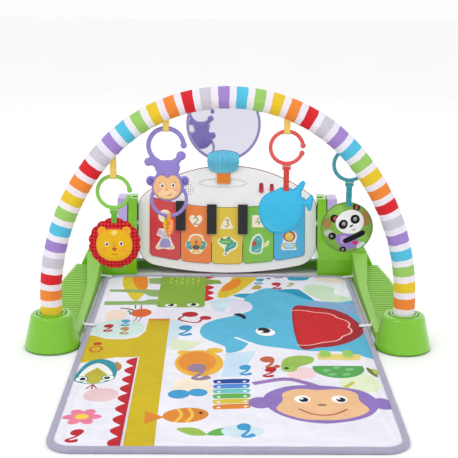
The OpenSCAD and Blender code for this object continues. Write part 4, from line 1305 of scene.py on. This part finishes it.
def piano_outline(grow):
    """Outline of the piano's shell, in millimetres on its face."""
    width, height = 372, 223
    bottom_r, corner_r, top_r, shoulder_r = 735, 45, 283, 36
    cx = width / 2 - corner_r
    cv = bottom_r - math.sqrt((bottom_r - corner_r) ** 2 - cx * cx)
    ca = math.degrees(math.atan2(cv - bottom_r, cx))
    sx = width / 2 - shoulder_r
    sv = height - top_r + math.sqrt((top_r - shoulder_r) ** 2 - sx * sx)
    sa = math.degrees(math.atan2(sv - height + top_r, sx))
    return (arc_points(cx, cv, corner_r + grow, ca, 0) + arc_points(sx, sv, shoulder_r + grow, 0, sa)
            + arc_points(0, height - top_r, top_r + grow, sa, 180 - sa, 1, 40)
            + arc_points(-sx, sv, shoulder_r + grow, 180 - sa, 180)
            + arc_points(-cx, cv, corner_r + grow, 180, 180 - ca)
            + arc_points(0, bottom_r, bottom_r + grow, 180 - ca, 360 + ca, 1, 40))


def make_bead():
    """Thin edge line round the back edge of the front shell."""
    points = piano_outline(0.8)
    depth = 14.8
    path = [on_face(p[0], depth, p[1]) for i, p in enumerate(points) if math.dist(p, points[i - 1]) > 0.5]
    size = (0.0014, 0.0011, 10)
    moulding("piano_bead", path, FACE_IN, size, TRIM, "piano", True, ["piano_trim"])


def face_decal(name, p, x, v, key):
    """Printed film just above a key's front."""
    film = -3.15  # the keys stand 3 mm out of the face
    points, faces, colours = p.cut(3.0)
    verts = [tuple(on_face(x + a, film, v + b)) for a, b in points]
    decal = mesh_piece(name, verts, [t[::-1] for t in faces], STICKER, colours)
    face_outwards(decal, -FACE_IN)
    finish_piece(decal, key + "_key")


BADGES = (
    ellipse(0, 0, 13.5, 13.5),
    spline([(0, 8.5), (6.5, 12.5), (13, 8.5), (12, 0), (6, -7), (0, -13), (-6, -7), (-12, 0), (-13, 8.5),
        (-6.5, 12.5)]),
    spline([(0, 13), (5, 8), (12, -6), (13, -11), (7, -12.5), (0, -12.5), (-7, -12.5), (-13, -11),
        (-12, -6), (-5, 8)]),
    spline([(-12, 11), (-11, 12.5), (11, 12.5), (12, 11), (12, -11), (11, -12.5), (-11, -12.5),
        (-12, -11)]),
    [(r * math.sin(TAU * i / 10), r * math.cos(TAU * i / 10)) for i, r in enumerate((14, 8.5) * 5)],
)
DIGITS = (
    [([(-3, 4), (0.5, 7.5), (0.5, 0), (0.5, -7.5)], 1)],
    [([(-4, 4), (-2, 7), (2.5, 7), (4.2, 3.5), (1, -1.5), (-4, -6.6), (0, -6.8), (4.6, -6.6)], 4)],
    [([(-4, 5.5), (0, 7.2), (3.6, 4.5), (0.5, 0.6), (4, -3), (0.6, -7), (-4, -5.5)], 4)],
    [([(1.5, 7.5), (-5, -2.5), (6, -2.5)], 1), ([(2.2, 2), (2.2, -7.5)], 1)],
    [([(4.5, 7), (-3, 7), (-3.6, 1)], 1), ([(-3.6, 1), (1, 2.4), (4.4, -2), (1, -7), (-4, -5.6)], 4)],
)
DIGIT_INK = ("c9525a", "8b7a72", "8d7a3e", "5f8f3a", "3d86ad")


def face_features(p, x, y, size):
    """Two eyes and a mouth."""
    for side in (-1, 1):
        eye(p, x + side * size, y, size * 0.34)
    mouth = [(x - size * 0.6, y - size), (x, y - size * 1.35), (x + size * 0.6, y - size)]
    p.ink("3a2a26", stroke(mouth, size * 0.2))


def picture_1():
    p = Print(spline([(-16, 16), (-12, 22), (0, 21), (13, 22), (17, 15), (11, 6), (14, -6), (20, -19),
        (9, -22), (-3, -20), (-14, -22), (-20, -17), (-12, -4), (-9, 4), (-17, 8)]), "f3eef2")
    for side in (-1, 1):
        p.ink("c4b7d4", ellipse(side * 11, 14, 5.5, 6.5, side * -20))
        p.ink("e7a9bd", ellipse(side * 11, 14, 3, 4, side * -20))
        p.ink("efc58e", ellipse(side * 12, -17, 5.5, 4))
    p.ink("d3cadd", spline([(-9, 10), (0, 19), (9, 10), (8, 2), (12, -14), (0, -19), (-12, -14),
        (-8, 2)]))
    p.ink("9d8fce", spline([(-8, -3), (0, 1), (9, -3), (11, -15), (0, -18), (-11, -15)]))
    face_features(p, 0, 11, 4)
    return p


def picture_2():
    p = Print(spline([(0, 21), (12, 18), (18, 6), (23, -2), (15, -13), (8, -20), (-8, -20), (-15, -13),
        (-23, -2), (-18, 6), (-12, 18)]), "f4ead2")
    for side in (-1, 1):
        p.ink("3f9aa4", spline([(side * 6, 6), (side * 17, 5), (side * 21, -3), (side * 14, -12),
            (side * 5, -8)]))
        p.ink("9fd0cc", stroke([(side * 8, -1), (side * 14, -1), (side * 18, -4)], 1.6))
        p.ink("f0b84a", ellipse(side * 5, -16, 4, 2.6))
    p.ink("ef9b3c", spline([(0, 18), (11, 13), (12, 2), (6, -12), (-6, -12), (-12, 2), (-11, 13)]))
    p.ink("4d5a44", ellipse(0, -7, 8, 5))
    face_features(p, 0, 10, 4.5)
    p.ink("d2432f", spline([(-3.5, 5), (0, 7), (3.5, 5), (0, -1)]))
    return p


def picture_3():
    p = Print(spline([(-20, 12), (-10, 17), (2, 20), (14, 14), (22, 6), (18, -6), (6, -12), (-2, -21),
        (-9, -18), (-6, -8), (-16, 2)]), "eef2dc")
    p.ink("5fae57", spline([(-17, 10), (-8, 14), (4, 16), (13, 10), (12, 2), (0, 2), (-12, 5)]))
    p.ink("5fae57", ellipse(-11, 13, 3.6, 3.6), ellipse(3, 16, 3.6, 3.6))
    p.ink("16181b", ellipse(-11, 14, 1.6, 1.6, 0, 10), ellipse(3, 17, 1.6, 1.6, 0, 10))
    p.ink("2f9d96", spline([(2, 4), (18, 8), (17, -2), (6, -8), (-3, -14), (-4, -6)]))
    p.ink("7ccac2", stroke([(3, -4), (9, 1), (15, 4)], 2))
    p.ink("dfe9b0", stroke([(-12, 8), (-4, 9), (6, 8)], 1.2))
    p.ink("c9652f", ellipse(-3, -17, 2.6, 2.2, 0, 10))
    return p


def picture_4():
    p = Print(spline([(-18, -16), (-16, 2), (-10, 16), (2, 22), (10, 12), (12, 2), (22, 8), (21, -2),
        (10, -8), (8, -17), (-4, -21)]), "e6f0de")
    p.ink("35a8a6", spline([(-14, -14), (-13, 2), (-7, 13), (1, 18), (8, 10), (7, -4), (5, -15),
        (-4, -18)]))
    p.ink("e8d49a", spline([(10, 0), (19, 5), (18, -1), (11, -5)]))
    p.ink("b54a33", spline([(-13, 3), (-7, 7), (-3, 0), (-8, -5), (-12, -3)]))
    p.ink("e9efe2", stroke([(-8, -15), (-1, -12), (4, -8)], 1.2))
    eye(p, 1, 10, 2)
    return p


def picture_5():
    p = Print(spline([(-4, 20), (8, 19), (16, 10), (14, -2), (12, -10), (15, -20), (0, -21), (-16, -20),
        (-15, -8), (-12, 2), (-13, 12)]), "eaf0ec")
    p.ink("a5452f", ellipse(0, 8, 13, 12))
    p.ink("e8c65c", ellipse(0, 7, 9, 8.5))
    p.ink("7fc4e6", spline([(-10, -5), (0, -7), (10, -5), (12, -17), (0, -19), (-12, -17)]))
    for y in (-9, -13):
        p.ink("e9f4fa", stroke([(-9, y), (0, y - 1), (9, y)], 1.4))
    p.ink("e8b94a", ellipse(-12, -12, 3, 5, 20), ellipse(12, -12, 3, 5, -20))
    face_features(p, 0, 8, 3.6)
    return p


def make_key_pictures():
    key_pitch, badge_rise = 65, 48
    makers = (picture_1, picture_2, picture_3, picture_4, picture_5)
    heights = (70, 60, 56, 60, 69)
    for i, key in enumerate(KEY_INKS):
        x = (i - 2) * key_pitch
        badge = Print(BADGES[i], "f8ecd6")
        for line, steps in DIGITS[i]:
            badge.ink(DIGIT_INK[i], stroke(line, 2.2, steps))
        face_decal(f"key_{i + 1}_number", badge, x - 1, heights[i] + badge_rise, key)
        face_decal(f"key_{i + 1}_picture", makers[i](), x, heights[i], key)


def cloth_sheet(name, rows, width_at, place):
    """Solid cloth from place(u, t, half width), with u from -1 to 1 across and t from 0 to 1 down."""
    columns = 70
    verts, faces = [], []
    for j in range(rows + 1):
        t = j / rows
        verts += [place(2 * i / columns - 1, t, width_at(t)) for i in range(columns + 1)]
    for j in range(rows):
        for i in range(columns):
            a = j * (columns + 1) + i
            faces.append((a, a + 1, a + columns + 2, a + columns + 1))
    piece = mesh_piece(name, verts, faces, BLUE_CLOTH)
    thick = piece.modifiers.new("cloth", "SOLIDIFY")
    thick.thickness = 0.0009
    thick.offset = 0
    frozen(piece)
    piece.data.polygons.foreach_set("use_smooth", [True] * len(piece.data.polygons))
    return piece


def make_pocket():
    """Pleated cloth pocket that holds the mirror's lower edge and hangs over the piano's face."""
    low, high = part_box("mirror_holder")
    flap_low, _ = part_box("holder_flap")
    cx = (low.x + high.x) / 2
    half = (high.x - low.x) / 2
    front, back = low.y - 0.0002, high.y - 0.001
    lower_front = flap_low.y + 0.0006
    wide_pleat, fine_pleat = 6.4, 2.9
    sag = 0.0055

    def pleat(u, amount):
        across = u * half / MM * TAU
        return amount * (math.sin(across / wide_pleat) + 0.3 * math.sin(across / fine_pleat + 1))

    def front_width(t):
        return half * (1 - 0.10 * (2 * t - 0.9) ** 2 - 0.06 * t)

    def front_place(u, t, width):
        top = high.z - sag * u * u
        bottom = flap_low.z + 0.0015 + 0.006 * u * u
        z = top + (bottom - top) * t
        y = front + (lower_front - front) * max(t - 0.45, 0) / 0.55
        gather = math.sin(math.pi * min(t * 1.1, 1)) * 0.0019 + 0.0004
        return (cx + u * width, y - 0.0008 * math.sin(math.pi * t) - abs(pleat(u, gather)), z)

    def back_place(u, t, width):
        turn = 0.75  # where the cloth turns forwards under the mirror
        top = high.z - 0.0045 * u * u - 0.001
        bottom = low.z + 0.002
        if t < turn:
            return (cx + u * width, back + abs(pleat(u, 0.0003)), top + (bottom - top) * t / turn)
        s = (t - turn) / (1 - turn)
        y = back + (front + 0.001 - back) * s
        return (cx + u * width, y, bottom - 0.0018 * math.sin(math.pi * s))

    pocket = cloth_sheet("mirror_pocket", 26, front_width, front_place)
    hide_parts("mirror_holder", "holder_flap")
    rear = cloth_sheet("mirror_pocket_back", 16, lambda t: half * 0.96, back_place)
    finish_piece(rear, "mirror")
    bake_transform(pocket)
    across = [k / 10 - 1 for k in range(21)]
    hem = [(cx + half * 0.86 * u, front - 0.0012, high.z - sag * u ** 2) for u in across]
    size = (0.0014, 0.0010, 10)
    moulding("mirror_pocket_hem", hem, (0, 1, 0), size, BLUE_CLOTH, "mirror")


def make_orange_strap():
    """Webbing that lies on the piano's face, with a seam along each edge."""
    low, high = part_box("mirror_strap")
    cx, half = (low.x + high.x) / 2, (high.x - low.x) / 2
    start, length, steps = 186.5, 27, 16
    path = []
    for k in range(steps + 1):
        bulge = 1.3 * math.sin(math.pi * min(k / (steps - 1), 1)) ** 0.6
        path.append(on_face(0, -1.6 - bulge, start + length * k / steps) + Vector((cx, 0, 0)))
    moulding("mirror_strap_band", path, (1, 0, 0), (0.0008, half, 14, 0.3), ORANGE_WEB, "piano",
             False, ["mirror_strap"])
    for k, offset in enumerate((-0.36, 0.36)):
        line = [p + Vector((half * 2 * offset, 0, 0)) - FACE_IN * 0.0009 for p in path[1:15]]
        moulding(f"mirror_strap_seam_{k}", line, (1, 0, 0), (0.00035, 0.0005, 8), CHARM_CORD, "piano")


def pill(width, height):
    """Upright slot outline around the origin."""
    r = width / 2
    return arc_points(0, height / 2 - r, r, 0, 180) + arc_points(0, r - height / 2, r, 180, 360)


def slot_plate(name, outline, x, v, depth, thick, faces, body):
    """Flat red plate behind the piano's face: a front and a back copy of its outline."""
    verts = [tuple(on_face(x + a, w, v + c)) for w in (depth, depth + thick) for a, c in outline]
    plate = mesh_piece(name, verts, faces, SLIDER)
    face_outwards(plate)
    finish_piece(plate, body)


def make_slider_plates():
    """Coloured floor round each slider's slot and the red shutter behind it."""
    middle = 178
    for name, x, width, height, drop in (("power", 71, 9.6, 22, 5), ("volume", 93, 8.6, 18, 3.5)):
        rim, hole, shutter = pill(width - 0.3, height - 0.3), pill(5.2, height - 3.8), pill(7, height + 8)
        n = len(rim)
        m = 2 * n
        faces = []
        for i in range(n):
            k = (i + 1) % n
            faces += [(i, n + i, n + k, k), (m + i, m + k, m + n + k, m + n + i)]
            faces += [(i, k, m + k, m + i), (n + i, m + n + i, m + n + k, n + k)]
        slot_plate(name + "_slot_floor", rim + hole, x, middle, 0.72, 0.2, faces, "piano")
        faces = [tuple(range(n)), tuple(range(2 * n - 1, n - 1, -1))]
        faces += [(i, n + i, n + (i + 1) % n, (i + 1) % n) for i in range(n)]
        v = middle - drop + 4
        slot_plate(name + "_slot_shutter", shutter, x, v, 3.0, 0.45, faces, name + "_switch")


def make_recess_shade_line():
    """Greyish line round the lower lip of the oval recess, a thin bead on the face that is painted shade
    marking the recess's edge.
    """
    angles = [math.radians(185 + 170 * i / 48) for i in range(49)]
    path = [on_face(-9 + 51 * math.cos(a), -0.1, 189 + 10 * math.sin(a)) for a in angles]
    moulding("recess_lip_shade", path, FACE_IN, (0.0006, 0.0005, 8), RECESS_SHADE, "piano")


def make_door_ribs():
    """Grip ribs under the battery door's finger tab, on its outer face."""
    _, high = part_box("battery_door")
    tab_rise, tab_drop, pitch, reach = 0.0006, 0.018, 0.0045, 0.018
    for k in range(5):
        half = reach - 0.0022 * k
        z = high.z - tab_drop - pitch * k
        across = [t / 4 for t in range(-4, 5)]
        path = [(half * u, high.y - tab_rise, z - 0.002 * (1 - u ** 2)) for u in across]
        size = (0.0012, 0.0009, 8)
        moulding(f"door_rib_{k + 1}", path, (0, 1, 0), size, LOUVRE, "door")


def make_rear_mouldings():
    """Raised frame round the battery door and a set of louvres at each side of it."""
    low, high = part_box("battery_door")
    back_y = high.y - 0.0006
    margin, corner = 0.009, 0.007
    x, z0, z1 = high.x + margin - corner, low.z - margin + corner, high.z + margin - corner
    corners = ((x, z0, -90), (x, z1, 0), (-x, z1, 90), (-x, z0, 180))
    outline = [p for cx, cz, a in corners for p in arc_points(cx, cz, corner, a, a + 90, 1, 6)]
    path = [(u, back_y, v) for u, v in even(outline, 0.012)]
    size = (0.0011, 0.0008, 8)
    moulding("rear_door_frame", path, (0, 1, 0), size, HOUSING, "piano", True)
    near, length, pitch, steps = 0.085, 0.036, 0.007, 6
    for side in (-1, 1):
        for k in range(6):
            z = high.z - pitch * k
            path = [(side * (near + length * t / steps), back_y, z) for t in range(steps + 1)]
            louvre = sweep(f"rear_louvre_{'left' if side < 0 else 'right'}_{k + 1}", path, (0, 1, 0),
                           lambda i: oval_section(0.0013 if 0 < i < steps else 0.0006, 0.0009, 8), LOUVRE)
            finish_piece(louvre, "piano")


make_bead()
make_door_ribs()
make_rear_mouldings()
make_slider_plates()
make_recess_shade_line()
make_key_pictures()
make_pocket()
make_orange_strap()


# ---------- Camera, floor and light ----------

CAMERA_HEIGHT = 0.67
CAMERA_BACK = 1.8425
CAMERA_PITCH = math.radians(14.3)


def make_camera():
    data = bpy.data.cameras.new("camera")
    data.lens = 87.2
    data.sensor_width = 36
    data.clip_start = 0.05
    data.clip_end = 50
    camera = bpy.data.objects.new("camera", data)
    bpy.context.scene.collection.objects.link(camera)
    camera.location = (-0.008, -CAMERA_BACK, CAMERA_HEIGHT)
    camera.rotation_euler = (math.pi / 2 - CAMERA_PITCH, math.radians(-0.3), math.radians(-0.22))
    bpy.context.scene.camera = camera


def area_light(name, place, aim, size, power):
    data = bpy.data.lights.new(name, "AREA")
    data.shape = "DISK"
    data.size = size
    data.energy = power
    lamp = bpy.data.objects.new(name, data)
    bpy.context.scene.collection.objects.link(lamp)
    lamp.location = place
    lamp.rotation_euler = (Vector(aim) - Vector(place)).to_track_quat("-Z", "Y").to_euler()


def make_stage():
    """Pale floor, white surroundings and three soft lamps."""
    mesh = bpy.data.meshes.new("floor")
    mesh.from_pydata([(x, y, 0) for x, y in box_outline(0, 0, 9.0, 9.0)], [], [(0, 1, 2, 3)])
    floor = bpy.data.objects.new("floor", mesh)
    bpy.context.scene.collection.objects.link(floor)
    b = Build("floor_paper")
    b.colour(b.shade(srgb("fbfbfb"), b.noise(3.0, 2.0), 0.985, 1.0))
    b.set(Roughness=0.9)
    mesh.materials.append(b.mat)
    world = bpy.data.worlds.new("studio")
    world.use_nodes = True
    world.node_tree.nodes["Background"].inputs["Color"].default_value = (1, 1, 1, 1)
    world.node_tree.nodes["Background"].inputs["Strength"].default_value = 0.99
    bpy.context.scene.world = world
    bpy.context.scene.view_settings.view_transform = "Standard"
    area_light("key", (-1.2, -1.4, 2.2), (0, 0.1, 0.1), 1.2, 12)
    area_light("fill", (1.6, -1.0, 1.4), (0, 0.1, 0.15), 1.4, 3)
    area_light("back", (0.2, 2.0, 1.9), (0, 0.1, 0.2), 1.4, 5)


make_camera()
make_stage()
